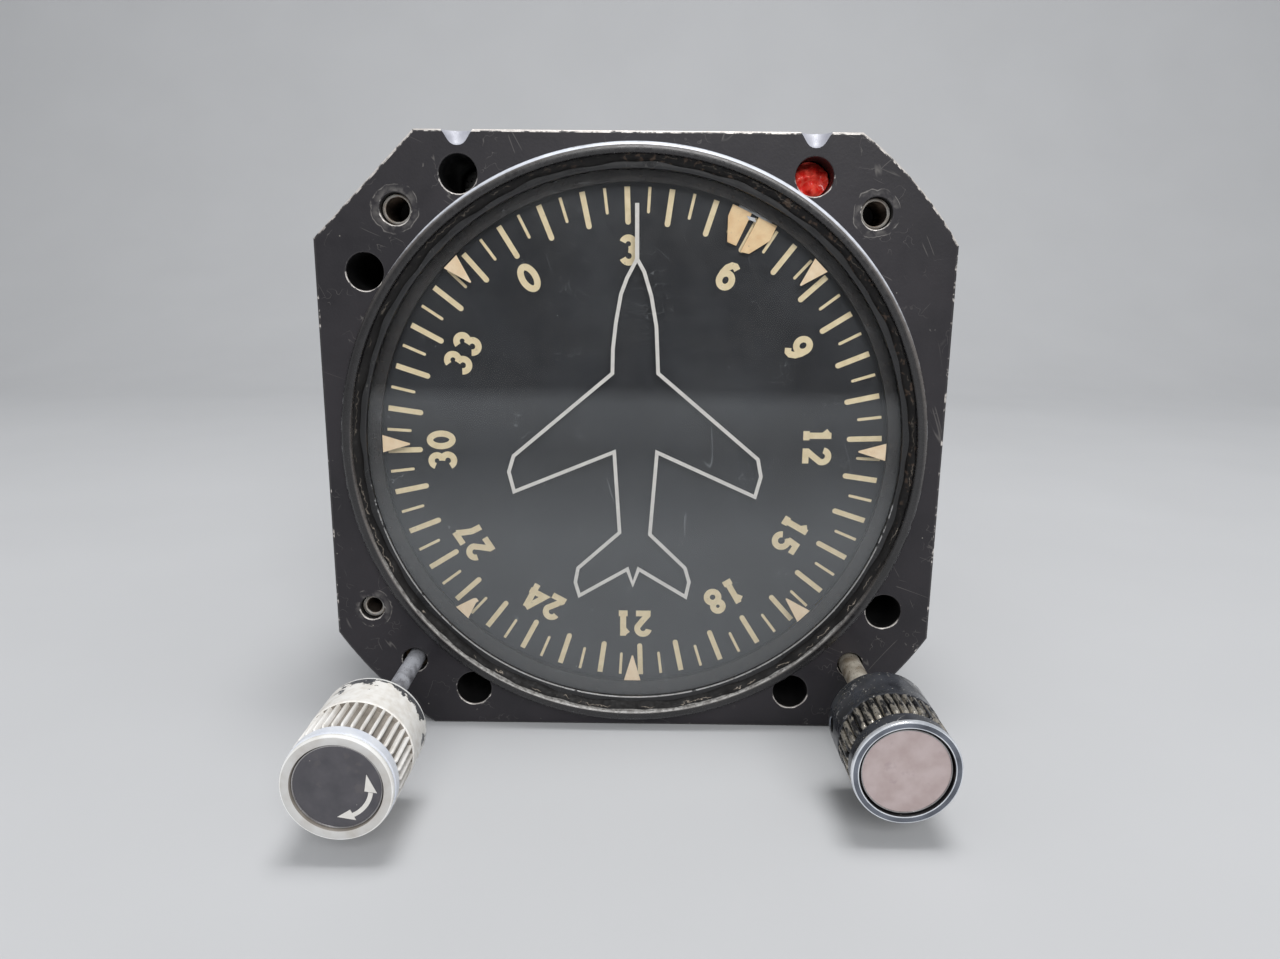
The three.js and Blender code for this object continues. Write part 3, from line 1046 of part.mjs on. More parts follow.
function cageShaft() {
  const collar = turned([
    [0, COLLAR_DEPTH], [COLLAR_RADIUS, COLLAR_DEPTH], [COLLAR_RADIUS, grooveFront],
    [COLLAR_GROOVE_RADIUS, grooveFront], [COLLAR_GROOVE_RADIUS, grooveRear],
    [COLLAR_RADIUS, grooveRear], [COLLAR_RADIUS, collarRear], [0, collarRear],
  ]);
  const shaft = knobShaft(CAGE_KNOB_REACH, CAGE_KNOB_LENGTH, CAGE_SHAFT_RADIUS);
  return atCageKnob(joined(shaft, collar, pinion(CAGE_PINION_DEPTH, LEFT_ANGLE_OF_SHAFT)));
}

piece('cage_shaft', cageShaft(), STEEL);

// The caging rod has a fork in the collar's groove, and runs back beside the gimbals
function cagingRod() {
  const from = grooveFront + (COLLAR_GROOVE - FORK_THICKNESS) / 2;
  const to = from + FORK_THICKNESS;
  const [rodX, rodZ] = polar(CAGING_ROD_CENTRE_RADIUS, LEFT_ANGLE_OF_SHAFT);
  const [endX, endZ] = [rodX + KNOB_OFFSET, rodZ + KNOB_OFFSET];
  const span = Math.hypot(endX, endZ);
  const taper = [[0, -FORK_RADIUS], [span, -CAGING_ROD_RADIUS], [span, CAGING_ROD_RADIUS], [0, FORK_RADIUS]];
  const tang = plate(taper, from, to).rotate([0, -45, 0]);
  const round = rod(FORK_RADIUS, from, to, 0, 0, MEDIUM_SEGMENTS);
  const notchRadius = COLLAR_GROOVE_RADIUS + RUN_GAP;
  const notch = rod(notchRadius, from - OVERRUN, to + OVERRUN);
  const middle = (from + to) / 2;
  const mouth = block(2 * FORK_RADIUS, FORK_THICKNESS + OVERRUN, 2 * notchRadius, -FORK_RADIUS, middle, 0)
    .rotate([0, -45, 0]);
  const fork = cut(joined(tang, round), notch, mouth).translate([-KNOB_OFFSET, 0, -KNOB_OFFSET]);
  const end = from + CAGING_ROD_LENGTH;
  const bar = rod(CAGING_ROD_RADIUS, from, end, rodX, rodZ, SMALL_SEGMENTS);
  const pad = rod(CAGING_PAD_RADIUS, end - CAGING_PAD_LENGTH, end, rodX, rodZ);
  return joined(fork, bar, pad);
}

piece('caging_rod', cagingRod(), STEEL);

// Return spring between the collar and the case flange
class Helix extends THREE.Curve {
  getPoint(share) {
    const angle = share * SPRING_TURNS * TURN;
    const free = FRAME_DEPTH - collarRear - 4 * SPRING_WIRE_RADIUS;
    const y = collarRear + 2 * SPRING_WIRE_RADIUS + free * share;
    return new THREE.Vector3(SPRING_RADIUS * Math.cos(angle), y, SPRING_RADIUS * Math.sin(angle));
  }
}

function returnSpring() {
  const wire = circlePoints(SPRING_WIRE_RADIUS, SPRING_SIDES);
  const section = new THREE.Shape(wire.map(([x, y]) => new THREE.Vector2(x, y)));
  const geometry = new THREE.ExtrudeGeometry(section, {
    extrudePath: new Helix(), steps: SPRING_TURNS * SPRING_STEPS, bevelEnabled: false,
  });
  return atCageKnob(solidOf(geometry));
}

piece('cage_return_spring', returnSpring(), STEEL);

// The origin is under the middle of the whole instrument, on the surface that the frame stands on
const portRear = REAR_FACE + PORT_HEX_LENGTH + PORT_NIPPLE_LENGTH;
const rearReach = Math.max(portRear, filterRear, REAR_FACE + CONNECTOR_LENGTH);
instrument.position.set(0, (CAGE_KNOB_REACH - rearReach) / 2, HALF_HEIGHT);
const whole = new THREE.Group();
whole.add(instrument);

export default whole;
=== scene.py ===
"""Aircraft directional gyro: finishes, fine shapes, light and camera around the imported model.

Sizes are in millimetres: x to the right, d rearwards from the front face, z up from the dial's axis.
"""
import math
from types import SimpleNamespace

import bmesh
import bpy
from mathutils import Matrix, Vector, noise


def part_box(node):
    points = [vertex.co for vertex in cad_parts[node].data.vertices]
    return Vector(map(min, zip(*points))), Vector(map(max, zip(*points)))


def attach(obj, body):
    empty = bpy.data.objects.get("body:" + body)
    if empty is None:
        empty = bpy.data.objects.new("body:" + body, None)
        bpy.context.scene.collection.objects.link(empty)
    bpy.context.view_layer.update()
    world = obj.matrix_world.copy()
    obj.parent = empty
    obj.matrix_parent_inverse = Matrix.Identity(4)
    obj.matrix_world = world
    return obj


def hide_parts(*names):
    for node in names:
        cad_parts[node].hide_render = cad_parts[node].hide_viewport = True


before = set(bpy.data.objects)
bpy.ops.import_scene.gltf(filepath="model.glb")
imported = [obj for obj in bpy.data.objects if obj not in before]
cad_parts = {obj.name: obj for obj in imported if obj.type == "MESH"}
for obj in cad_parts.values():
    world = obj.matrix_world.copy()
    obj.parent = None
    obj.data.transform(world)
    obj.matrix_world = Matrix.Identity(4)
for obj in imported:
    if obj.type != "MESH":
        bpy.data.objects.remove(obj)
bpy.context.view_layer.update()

MM = 0.001
RIM_HEIGHT = 2.1
frame_low, frame_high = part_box("front_frame")
FACE_Y = frame_low.y / MM + RIM_HEIGHT
AXIS_Z = (frame_low.z + frame_high.z) / 2 / MM
FINISH_SLOTS = 6

# Front frame
HALF_WIDTH = (frame_high.x - frame_low.x) / 2 / MM
HALF_HEIGHT = (frame_high.z - frame_low.z) / 2 / MM
FRAME_DEPTH = 25.0
# Three corners are arcs of this radius about the axis, and the fourth is a straight cut at this distance
CORNER_RADIUS = 50.6
CORNER_CUT = 49.6
RIM_RADIUS = 39.95
BORE_RADIUS = 38.4
RIM_INNER = 38.7
KNOB_OFFSET = 31.6
SHAFT_GAP = 0.12
POCKET_RADIUS = 5.06
IDLER_DISTANCE = 36.564
# Inserts: x, z, radius and radius of the bore
INSERTS = ((-31.43, 31.43, 1.95, 1.6), (31.43, 31.43, 1.95, 1.6), (-37.4, -23.7, 1.6, 1.15))
CASE_SCREWS = ((-23.1, 35.9), (23.1, 35.9), (-23.1, -35.9), (23.1, -35.9))
SPARE_HOLES = ((-35.85, 23.4), (35.85, -23.4))
SCREW_CLEARANCE = 1.52
HOLE_RADIUS = 2.5
HOLE_DEPTH = 17.0

# Window and card
WINDOW_RADIUS = 38.24
GLASS_THICKNESS = 1.5
CARD_FRONT = 3.0
CARD_RADIUS = 35.6
PRINT_HEIGHT = 0.05
TICK_RADIUS = 34.8
CARD_TURN = 122.0
TRIANGLE_RADIUS = 35.1
BUG_FRONT = 2.25

# Knobs: reach is how far they stand ahead of the front face; shaft, face and lip are radii;
# mouth_finish is the finish number of the slope inside the lip
CAGE_KNOB = SimpleNamespace(x=-KNOB_OFFSET, reach=34.3, length=14.3, radius=6.5, shaft=1.25, face=5.0,
                            lip=6.28, grip_share=0.385, face_gap=0.18, mouth_finish=3, ridge_half=0.2)
BUG_KNOB = SimpleNamespace(x=KNOB_OFFSET, reach=29.7, length=13.4, radius=6.37, shaft=1.55, face=5.2,
                           lip=6.37, grip_share=0.35, face_gap=0.3, mouth_finish=5, ridge_half=0.37)
COLLAR_SHARE = 0.455
SCREW_SHARE = 0.15
RIDGES = 36


def place(x, d, z):
    """A point of the instrument in the row frame, in metres."""
    return Vector((x * MM, (d + FACE_Y) * MM, (z + AXIS_Z) * MM))


def polar(radius, degrees):
    """The x and z of a point on a circle about the dial's axis, by its angle from the right."""
    angle = math.radians(degrees)
    return radius * math.cos(angle), radius * math.sin(angle)


# Shapes: a bmesh in millimetres whose faces carry a finish number

def strip(shape, first, second, finish):
    """Faces between two rings of corners, where a ring of one corner is a pole."""
    count = max(len(first), len(second))
    if count == 1:
        return
    for k in range(count):
        m = (k + 1) % count
        if len(first) == 1:
            corners = [first[0], second[k], second[m]]
        elif len(second) == 1:
            corners = [first[k], second[0], first[m]]
        else:
            corners = [first[k], second[k], second[m], first[m]]
        shape.faces.new(corners).material_index = finish


def closed(shape):
    """The shape with its doubles merged and its faces turned outwards."""
    bmesh.ops.remove_doubles(shape, verts=shape.verts, dist=1e-5)
    bmesh.ops.recalc_face_normals(shape, faces=shape.faces)
    return shape


def turned(profile, sides=96, x=0.0, z=0.0, along="d"):
    """A profile of (radius, distance, finish) turned about a line through x and z."""
    shape = bmesh.new()
    rings = []
    for radius, distance, _ in profile:
        steps = 1 if radius == 0 else sides
        ring = []
        for k in range(steps):
            u, v = radius * math.cos(k * math.tau / sides), radius * math.sin(k * math.tau / sides)
            corner = {"d": (x + u, distance, z + v),
                      "z": (x + u, z + v, distance),
                      "x": (distance, x + u, z + v)}
            ring.append(shape.verts.new(corner[along]))
        rings.append(ring)
    if profile[0][0] > 0:
        rings.append(rings[0])
    for (first, second), (_, _, finish) in zip(zip(rings, rings[1:]), profile):
        strip(shape, first, second, finish)
    return closed(shape)


def rod(radius, near, far, x=0.0, z=0.0, finish=0, sides=48, along="d"):
    """A plain round bar."""
    profile = [(0, near, finish), (radius, near, finish), (radius, far, finish), (0, far, finish)]
    return turned(profile, sides, x, z, along)


def layered(loops, finishes, first_cap=0, last_cap=0):
    """Loops of (x, d, z) corners joined in order, with a flat cap at each end."""
    shape = bmesh.new()
    rings = [[shape.verts.new(corner) for corner in loop] for loop in loops]
    for first, second, finish in zip(rings, rings[1:], finishes):
        strip(shape, first, second, finish)
    shape.faces.new(rings[0]).material_index = first_cap
    shape.faces.new(rings[-1]).material_index = last_cap
    return closed(shape)


def block(low, high, finish=0):
    """A cutter with flat sides between two corners."""
    loops = [[(x, low[1], low[2]), (x, high[1], low[2]), (x, high[1], high[2]), (x, low[1], high[2])]
             for x in (low[0], high[0])]
    return layered(loops, [finish], finish, finish)


def inset(outline, distance):
    """A convex outline of (x, z) points moved inwards."""
    moved = []
    count = len(outline)
    turn = sum(outline[i - 1][0] * outline[i][1] - outline[i][0] * outline[i - 1][1] for i in range(count))
    side = 1 if turn > 0 else -1
    for i in range(count):
        here = Vector(outline[i])
        before = (here - Vector(outline[i - 1])).normalized()
        after = (Vector(outline[(i + 1) % count]) - here).normalized()
        across = (before + after).normalized()
        reach = distance / max(0.3, across.dot(before))
        moved.append((here.x - side * across.y * reach, here.y + side * across.x * reach))
    return moved


def slab(outline, near, far, round_by=0.0, finish=0, edge=0, steps=3):
    """An outline of (x, z) points with depth, its edges rounded where round_by is set."""
    levels = [(0.0, near), (0.0, far)]
    if round_by:
        turns = [k * math.pi / 2 / steps for k in range(steps + 1)]
        front = [(round_by * (1 - math.sin(t)), near + round_by * (1 - math.cos(t))) for t in turns]
        levels = front + [(inward, far - (depth - near)) for inward, depth in reversed(front)]
    loops = []
    for inward, depth in levels:
        points = inset(outline, inward) if inward else outline
        loops.append([(x, depth, z) for x, z in points])
    finishes = [edge] * (len(loops) - 1)
    finishes[len(finishes) // 2] = finish
    return layered(loops, finishes, finish, finish)


def swept(path, width, near, far, loop=False, finish=0):
    """A flat strip of one width along a path of (x, z) points."""
    count = len(path)
    sections = []
    for i in range(count):
        here = Vector(path[i])
        before = Vector(path[i - 1]) if loop or i else here
        after = Vector(path[(i + 1) % count]) if loop or i < count - 1 else here
        first, second = (here - before), (after - here)
        first = first.normalized() if first.length else second.normalized()
        second = second.normalized() if second.length else first
        along = (first + second).normalized()
        reach = width / 2 / max(0.5, along.dot(second))
        side = Vector((-along.y, along.x)) * reach
        left, right = here + side, here - side
        sections.append([(left.x, near, left.y), (right.x, near, right.y),
                         (right.x, far, right.y), (left.x, far, left.y)])
    if not loop:
        return layered(sections, [finish] * count, finish, finish)
    shape = bmesh.new()
    rings = [[shape.verts.new(corner) for corner in section] for section in sections]
    for i, ring in enumerate(rings):
        strip(shape, ring, rings[(i + 1) % count], finish)
    return closed(shape)


def gathered(*shapes):
    """Several shapes in one mesh."""
    whole = bmesh.new()
    for shape in shapes:
        part = bpy.data.meshes.new("part")
        shape.to_mesh(part)
        whole.from_mesh(part)
        shape.free()
        bpy.data.meshes.remove(part)
    return whole


def moved(shape, x=0.0, d=0.0, z=0.0, turn=0.0):
    """The shape turned about the d axis, anticlockwise from the front, and then moved."""
    turning = Matrix.Rotation(-math.radians(turn), 4, "Y")
    bmesh.ops.transform(shape, matrix=Matrix.Translation((x, d, z)) @ turning, verts=shape.verts)
    return shape


def working_object(shape):
    """The shape as a plain object that a modifier can use."""
    mesh = bpy.data.meshes.new("working")
    shape.to_mesh(mesh)
    shape.free()
    for _ in range(FINISH_SLOTS):
        mesh.materials.append(None)
    thing = bpy.data.objects.new("working", mesh)
    bpy.context.scene.collection.objects.link(thing)
    return thing


def evaluated_mesh(thing):
    """A plain mesh of the object as its modifiers leave it."""
    graph = bpy.context.evaluated_depsgraph_get()
    return bpy.data.meshes.new_from_object(thing.evaluated_get(graph), depsgraph=graph)


def discard(*things):
    """Takes working objects and their meshes away."""
    for thing in things:
        mesh = thing.data
        bpy.data.objects.remove(thing)
        bpy.data.meshes.remove(mesh)


def carved(base, cuts=(), joins=()):
    """The base with shapes joined to it and then cut from it."""
    host = working_object(base)
    tools = []
    for operation, shapes in (("UNION", joins), ("DIFFERENCE", cuts)):
        for shape in shapes:
            tool = working_object(shape)
            step = host.modifiers.new("step", "BOOLEAN")
            step.operation = operation
            step.solver = "MANIFOLD"
            step.object = tool
            tools.append(tool)
    mesh = evaluated_mesh(host)
    shape = bmesh.new()
    shape.from_mesh(mesh)
    discard(host, *tools)
    bpy.data.meshes.remove(mesh)
    return shape


def crease_large_faces(mesh, ratio=25):
    """Marks edges between a large face and a thin strip as sharp, so that the large face shades evenly."""
    areas = {}
    for polygon in mesh.polygons:
        for key in polygon.edge_keys:
            areas.setdefault(key, []).append(polygon.area)
    for edge in mesh.edges:
        beside = areas.get(edge.key, [1])
        if max(beside) > ratio * min(beside):
            edge.use_edge_sharp = True


def finished(name, mesh, finishes, body, replaces=(), sharp=38):
    """A mesh in metres becomes a piece of the instrument."""
    mesh.name = name
    numbers = [0] * len(mesh.polygons)
    mesh.polygons.foreach_get("material_index", numbers)
    mesh.materials.clear()
    for finish in finishes:
        mesh.materials.append(finish)
    mesh.polygons.foreach_set("material_index", [min(number, len(finishes) - 1) for number in numbers])
    facing = mesh.attributes.new("facing", "FLOAT_VECTOR", "FACE")
    facing.data.foreach_set("vector", [part for polygon in mesh.polygons for part in polygon.normal])
    mesh.shade_smooth()
    mesh.set_sharp_from_angle(angle=math.radians(sharp))
    crease_large_faces(mesh)
    thing = bpy.data.objects.new(name, mesh)
    bpy.context.scene.collection.objects.link(thing)
    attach(thing, body)
    if replaces:
        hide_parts(*replaces)
    return thing


def piece(name, shape, finishes, body, replaces=(), sharp=38):
    """A shape in millimetres becomes a piece of the instrument."""
    to_metres = Matrix.Translation(place(0, 0, 0)) @ Matrix.Scale(MM, 4)
    bmesh.ops.transform(shape, matrix=to_metres, verts=shape.verts)
    mesh = bpy.data.meshes.new(name)
    shape.to_mesh(mesh)
    shape.free()
    return finished(name, mesh, finishes, body, replaces, sharp)


# Copies of one small shape round a line, such as ticks, knob ridges and screws

def round_pattern_tree():
    """A Geometry Nodes tree that turns copies of a shape about a centre."""
    tree = bpy.data.node_groups.new("copies in a round pattern", "GeometryNodeTree")
    sockets = (("Shape", "NodeSocketObject"), ("Finish", "NodeSocketMaterial"), ("Count", "NodeSocketInt"),
               ("First angle", "NodeSocketFloat"), ("Angle between", "NodeSocketFloat"),
               ("Centre", "NodeSocketVector"))
    for name, kind in sockets:
        tree.interface.new_socket(name, in_out="INPUT", socket_type=kind)
    tree.interface.new_socket("Geometry", in_out="OUTPUT", socket_type="NodeSocketGeometry")
    new, link = tree.nodes.new, tree.links.new
    given = new("NodeGroupInput").outputs
    points = new("GeometryNodePoints")
    source = new("GeometryNodeObjectInfo")
    copies = new("GeometryNodeInstanceOnPoints")
    index = new("GeometryNodeInputIndex")
    times = new("ShaderNodeMath")
    plus = new("ShaderNodeMath")
    turn = new("ShaderNodeCombineXYZ")
    real = new("GeometryNodeRealizeInstances")
    coat = new("GeometryNodeSetMaterial")
    out = new("NodeGroupOutput")
    times.operation = "MULTIPLY"
    link(given["Count"], points.inputs["Count"])
    link(given["Centre"], points.inputs["Position"])
    link(given["Shape"], source.inputs["Object"])
    link(index.outputs[0], times.inputs[0])
    link(given["Angle between"], times.inputs[1])
    link(times.outputs[0], plus.inputs[0])
    link(given["First angle"], plus.inputs[1])
    link(plus.outputs[0], turn.inputs["Y"])
    link(points.outputs[0], copies.inputs["Points"])
    link(source.outputs["Geometry"], copies.inputs["Instance"])
    link(turn.outputs[0], copies.inputs["Rotation"])
    link(copies.outputs[0], real.inputs[0])
    link(real.outputs[0], coat.inputs["Geometry"])
    link(given["Finish"], coat.inputs["Material"])
    link(coat.outputs[0], out.inputs["Geometry"])
    return tree


ROUND_PATTERN = round_pattern_tree()


def round_pattern(name, shape, finish, count, first, body, x=0.0, z=0.0, replaces=(), sharp=38):
    """Copies of a shape turned about a line through x and z, clockwise from the front, as one piece."""
    bmesh.ops.transform(shape, matrix=Matrix.Scale(MM, 4), verts=shape.verts)
    template = working_object(shape)
    host = bpy.data.objects.new(name, bpy.data.meshes.new("host"))
    bpy.context.scene.collection.objects.link(host)
    pattern = host.modifiers.new("pattern", "NODES")
    pattern.node_group = ROUND_PATTERN
    values = {"Shape": template, "Finish": finish, "Count": count, "First angle": math.radians(first),
              "Angle between": math.radians(360 / count), "Centre": place(x, 0, z)}
    for socket in ROUND_PATTERN.interface.items_tree:
        if socket.item_type == "SOCKET" and socket.in_out == "INPUT":
            pattern[socket.identifier] = values[socket.name]
    mesh = evaluated_mesh(host)
    discard(host, template)
    return finished(name, mesh, [finish], body, replaces, sharp)


# Finishes: patterns read Object coordinates, scaled to millimetres

# The Mix node's sockets when it mixes colours
MIX_AMOUNT, MIX_FIRST, MIX_SECOND, MIX_RESULT = 0, 6, 7, 2


class Finish:
    """A procedural material in the making."""

    def __init__(self, name, **fixed):
        self.material = bpy.data.materials.new(name)
        self.material.use_nodes = True
        tree = self.material.node_tree
        self.nodes, self.link = tree.nodes, tree.links.new
        self.shader = next(node for node in self.nodes if node.type == "BSDF_PRINCIPLED")
        self.coordinates = self.nodes.new("ShaderNodeTexCoord").outputs["Object"]
        for socket, value in fixed.items():
            self.put(socket.replace("_", " "), value)

    def put(self, socket, value):
        """Sets a shader socket, by a number, a colour or a pattern."""
        target = self.shader.inputs[socket]
        if isinstance(value, bpy.types.NodeSocket):
            self.link(value, target)
        elif isinstance(value, str):
            target.default_value = shade(value)
        else:
            target.default_value = value
        return self

    def node(self, kind, inputs, output=0, **settings):
        """A new node with its settings and inputs, given as the output asked for."""
        made = self.nodes.new(kind)
        for name, value in settings.items():
            setattr(made, name, value)
        for name, value in inputs.items():
            if isinstance(value, bpy.types.NodeSocket):
                self.link(value, made.inputs[name])
            elif isinstance(value, str):
                made.inputs[name].default_value = shade(value)
            else:
                made.inputs[name].default_value = value
        return made.outputs[output]

    def grid(self, size, stretch=(1, 1, 1), turn=(0, 0, 0)):
        """Coordinates in which one step is the given number of millimetres."""
        scale = [1 / MM / size / part for part in stretch]
        angles = [math.radians(part) for part in turn]
        turned_first = self.node("ShaderNodeMapping", {"Vector": self.coordinates, "Rotation": angles})
        return self.node("ShaderNodeMapping", {"Vector": turned_first, "Scale": scale})

    def cloud(self, size, detail=3.0, stretch=(1, 1, 1), turn=(0, 0, 0), roughness=0.5, distortion=0.0):
        """Noise in blobs of about the given number of millimetres, from 0 to 1."""
        inputs = {"Vector": self.grid(size, stretch, turn), "Scale": 1.0, "Detail": detail,
                  "Roughness": roughness, "Distortion": distortion}
        return self.node("ShaderNodeTexNoise", inputs)

    def between(self, value, low, high, start=0.0, end=1.0):
        """A value carried over from one range to another and held at its ends."""
        inputs = {"Value": value, "From Min": low, "From Max": high, "To Min": start, "To Max": end}
        return self.node("ShaderNodeMapRange", inputs)

    def maths(self, operation, first, second):
        return self.node("ShaderNodeMath", {0: first, 1: second}, operation=operation)

    def add(self, first, second):
        return self.maths("ADD", first, second)

    def less(self, first, second):
        return self.maths("SUBTRACT", first, second)

    def times(self, first, second):
        return self.maths("MULTIPLY", first, second)

    def most(self, first, second):
        return self.maths("MAXIMUM", first, second)

    def blend(self, amount, first, second):
        """The first colour where the amount is 0, and the second where it is 1."""
        inputs = {MIX_AMOUNT: amount, MIX_FIRST: first, MIX_SECOND: second}
        return self.node("ShaderNodeMix", inputs, MIX_RESULT, data_type="RGBA")

    def apart(self, value, middle):
        """How far a value lies from its middle."""
        return self.node("ShaderNodeMath", {0: self.less(value, middle)}, operation="ABSOLUTE")

    def offset(self, axis):
        """How far to the right (x), rearwards (d) or up (z) of the front face's middle, in millimetres."""
        there = self.node("ShaderNodeMapping", {"Vector": self.coordinates, "Scale": [1 / MM] * 3,
                                                "Location": -place(0, 0, 0) / MM})
        return self.node("ShaderNodeSeparateXYZ", {"Vector": there}, "xdz".index(axis))

    def around(self, x, z):
        """The distance in millimetres from the line through x and z."""
        centre = place(x, 0, z) / MM
        there = self.node("ShaderNodeMapping", {"Vector": self.coordinates, "Scale": (1 / MM, 0, 1 / MM),
                                                "Location": (-centre.x, 0, -centre.z)})
        return self.node("ShaderNodeVectorMath", {0: there}, "Value", operation="LENGTH")

    def facing(self, x, d, z):
        """How far a face looks in a direction: 1 straight along it, -1 away from it."""
        stored = self.node("ShaderNodeAttribute", {}, "Vector", attribute_name="facing")
        return self.node("ShaderNodeVectorMath", {0: stored, 1: (x, d, z)}, "Value", operation="DOT_PRODUCT")

    def hairlines(self, size, turn, width=0.01, length=9.0):
        """Short thin scratches, a little bent: 1 on a scratch, 0 beside it."""
        wave = self.cloud(size, 1.0, (1, 1, length), (0, turn, 0), distortion=0.2)
        some = self.between(self.cloud(size * 1.4, 1.0, (1, 1, 1.6), (0, turn, 0)), 0.64, 0.68)
        return self.times(self.between(self.apart(wave, 0.5), 0.0, width, 1.0, 0.0), some)

    def hairs(self, size, width=0.006):
        """Curled hairs and scuffs: short parts of a cloud's contour lines."""
        some = self.between(self.cloud(size * 1.7, 0.0), 0.6, 0.64)
        return self.times(self.between(self.apart(self.cloud(size, 2.0), 0.5), 0.0, width, 1.0, 0.0), some)

    def marks(self, size=3.0):
        """Scratches in three directions, each in places of its own, and a few curled hairs."""
        lines = self.most(self.hairlines(size, 24), self.hairlines(size * 1.35, -37, 0.007))
        return self.most(self.most(lines, self.hairlines(size * 0.8, 68, 0.008)), self.hairs(size * 0.9))

    def specks(self, size, radius, share):
        """Small round grains, on a share of the cells."""
        cells = self.nodes.new("ShaderNodeTexVoronoi")
        self.link(self.grid(size), cells.inputs["Vector"])
        cells.inputs["Scale"].default_value = 1.0
        near = self.between(cells.outputs["Distance"], radius * 0.6, radius, 1.0, 0.0)
        chosen = self.node("ShaderNodeSeparateColor", {"Color": cells.outputs["Color"]})
        return self.times(near, self.maths("LESS_THAN", chosen, share))

    def mottled(self, first, second, size, detail=4.0, low=0.35, high=0.68):
        """Two colours mixed by a cloud."""
        return self.blend(self.between(self.cloud(size, detail), low, high), first, second)

    def sheen(self, size, smooth, rough, detail=3.0):
        """Roughness that wanders between two values with a cloud."""
        return self.put("Roughness", self.between(self.cloud(size, detail), 0.3, 0.7, smooth, rough))

    def relief(self, height, depth, strength=1.0):
        """Bump from a height pattern, with its depth in millimetres."""
        bump = {"Height": height, "Distance": depth * MM, "Strength": strength}
        return self.put("Normal", self.node("ShaderNodeBump", bump))


def shade(code):
    """A colour code as it shows on a screen, turned into the linear values that Blender works with."""
    parts = [int(code[i:i + 2], 16) / 255 for i in (1, 3, 5)]
    return [p / 12.92 if p <= 0.04045 else ((p + 0.055) / 1.055) ** 2.4 for p in parts] + [1.0]


def black_paint(name, dark, light, roughness=0.42, wear="#8d8a88", scratch=0.5, dust=0.5, gloss=1.5,
                speck=(1.3, 0.07, 0.22), cloud=9.0, grain=0.03):
    """Black paint with a faint cloud, short scratches and dust."""
    finish = Finish(name, Metallic=0.0, IOR=gloss)
    paint = finish.mottled(dark, light, cloud)
    if scratch:
        scratches = finish.times(finish.marks(), scratch)
        paint = finish.blend(scratches, paint, wear)
    grains = finish.times(finish.specks(*speck), dust)
    finish.put("Base Color", finish.blend(grains, paint, "#a5a19a"))
    finish.sheen(2.4, roughness - 0.07, roughness + 0.1, 1.0)
    return finish.relief(finish.cloud(0.35, 4.0), grain, 0.5).material


def frame_finish():
    """The frame's satin black paint, with a cracked ring and pale scuffs round each insert."""
    finish = Finish("frame black paint", Metallic=0.0, IOR=1.4)
    paint = finish.mottled("#232125", "#2d2a2e", 10.0)
    marks = finish.times(finish.marks(2.6), 0.3)
    broken = finish.between(finish.cloud(1.4, 4.0), 0.46, 0.6)
    wander = finish.between(finish.cloud(1.7, 3.0), 0.2, 0.8, -0.35, 0.35)
    for x, z, radius, _ in INSERTS:
        away = finish.add(finish.around(x, z), wander)
        crack = finish.between(finish.apart(away, radius + 1.15), 0.02, 0.09, 0.5, 0.0)
        scuff = finish.between(away, radius, radius + 1.2, 0.42, 0.0)
        marks = finish.most(marks, finish.times(finish.most(crack, scuff), broken))
    grains = finish.times(finish.specks(1.5, 0.07, 0.2), 0.6)
    finish.put("Base Color", finish.blend(grains, finish.blend(marks, paint, "#96928d"), "#aaa69d"))
    finish.sheen(2.4, 0.36, 0.52, 5.0)
    height = finish.less(finish.cloud(0.35, 4.0), finish.times(marks, 0.5))
    return finish.relief(height, 0.03, 0.5).material


def wrinkle_paint(name, dark, light):
    """The case's crinkled black paint."""
    finish = Finish(name, Metallic=0.0)
    cells = {"Vector": finish.grid(0.75), "Scale": 1.0}
    wrinkles = finish.node("ShaderNodeTexVoronoi", cells, feature="SMOOTH_F1")
    grain = finish.add(wrinkles, finish.times(finish.cloud(0.5, 3.0, distortion=1.0), 0.6))
    rubbed = finish.times(finish.between(finish.cloud(14.0, 5.0), 0.6, 0.75), 0.25)
    paint = finish.blend(finish.between(grain, 0.4, 1.0), light, dark)
    finish.put("Base Color", finish.blend(rubbed, paint, "#5a5958"))
    finish.sheen(3.0, 0.38, 0.55, 4.0)
    return finish.relief(grain, 0.12, 0.8).material


def worn_edge(name, paint, metal, share=0.5, size=1.2, roughness=0.4, metallic=0.7, stretch=(1, 1, 1)):
    """An edge where the paint is rubbed through to the metal in patches."""
    finish = Finish(name)
    least = 1 - share
    bare = finish.between(finish.cloud(size, 5.0, stretch, roughness=0.65), least - 0.04, least + 0.05)
    rubbed = finish.blend(finish.cloud(0.4, 3.0), metal, "#8b8781")
    finish.put("Base Color", finish.blend(bare, paint, rubbed))
    finish.put("Metallic", finish.times(bare, metallic))
    finish.sheen(0.6, roughness - 0.08, roughness + 0.12)
    return finish.relief(bare, -0.02, 0.6).material


def frame_edge_finish():
    """Rubbed edges of the frame and its holes, with a painted highlight: bright where they look up, dull
    elsewhere.
    """
    finish = Finish("worn frame edge with painted highlight")
    # Painted highlight: faces that look up towards the overhead lamp turn bare and bright more often; the
    # cloud gives real rubbed patches
    upward = finish.facing(0.08, -0.1, 1.0)
    wear = finish.add(finish.cloud(1.3, 5.0, roughness=0.6), finish.times(upward, 0.45))
    bare = finish.between(wear, 0.6, 0.68)
    metal = finish.blend(finish.cloud(0.4, 3.0), "#efe9e4", "#a39d98")
    finish.put("Base Color", finish.blend(bare, "#302e30", metal))
    finish.put("Metallic", finish.times(bare, 0.25))
    finish.sheen(0.6, 0.32, 0.5)
    return finish.relief(bare, -0.02, 0.6).material


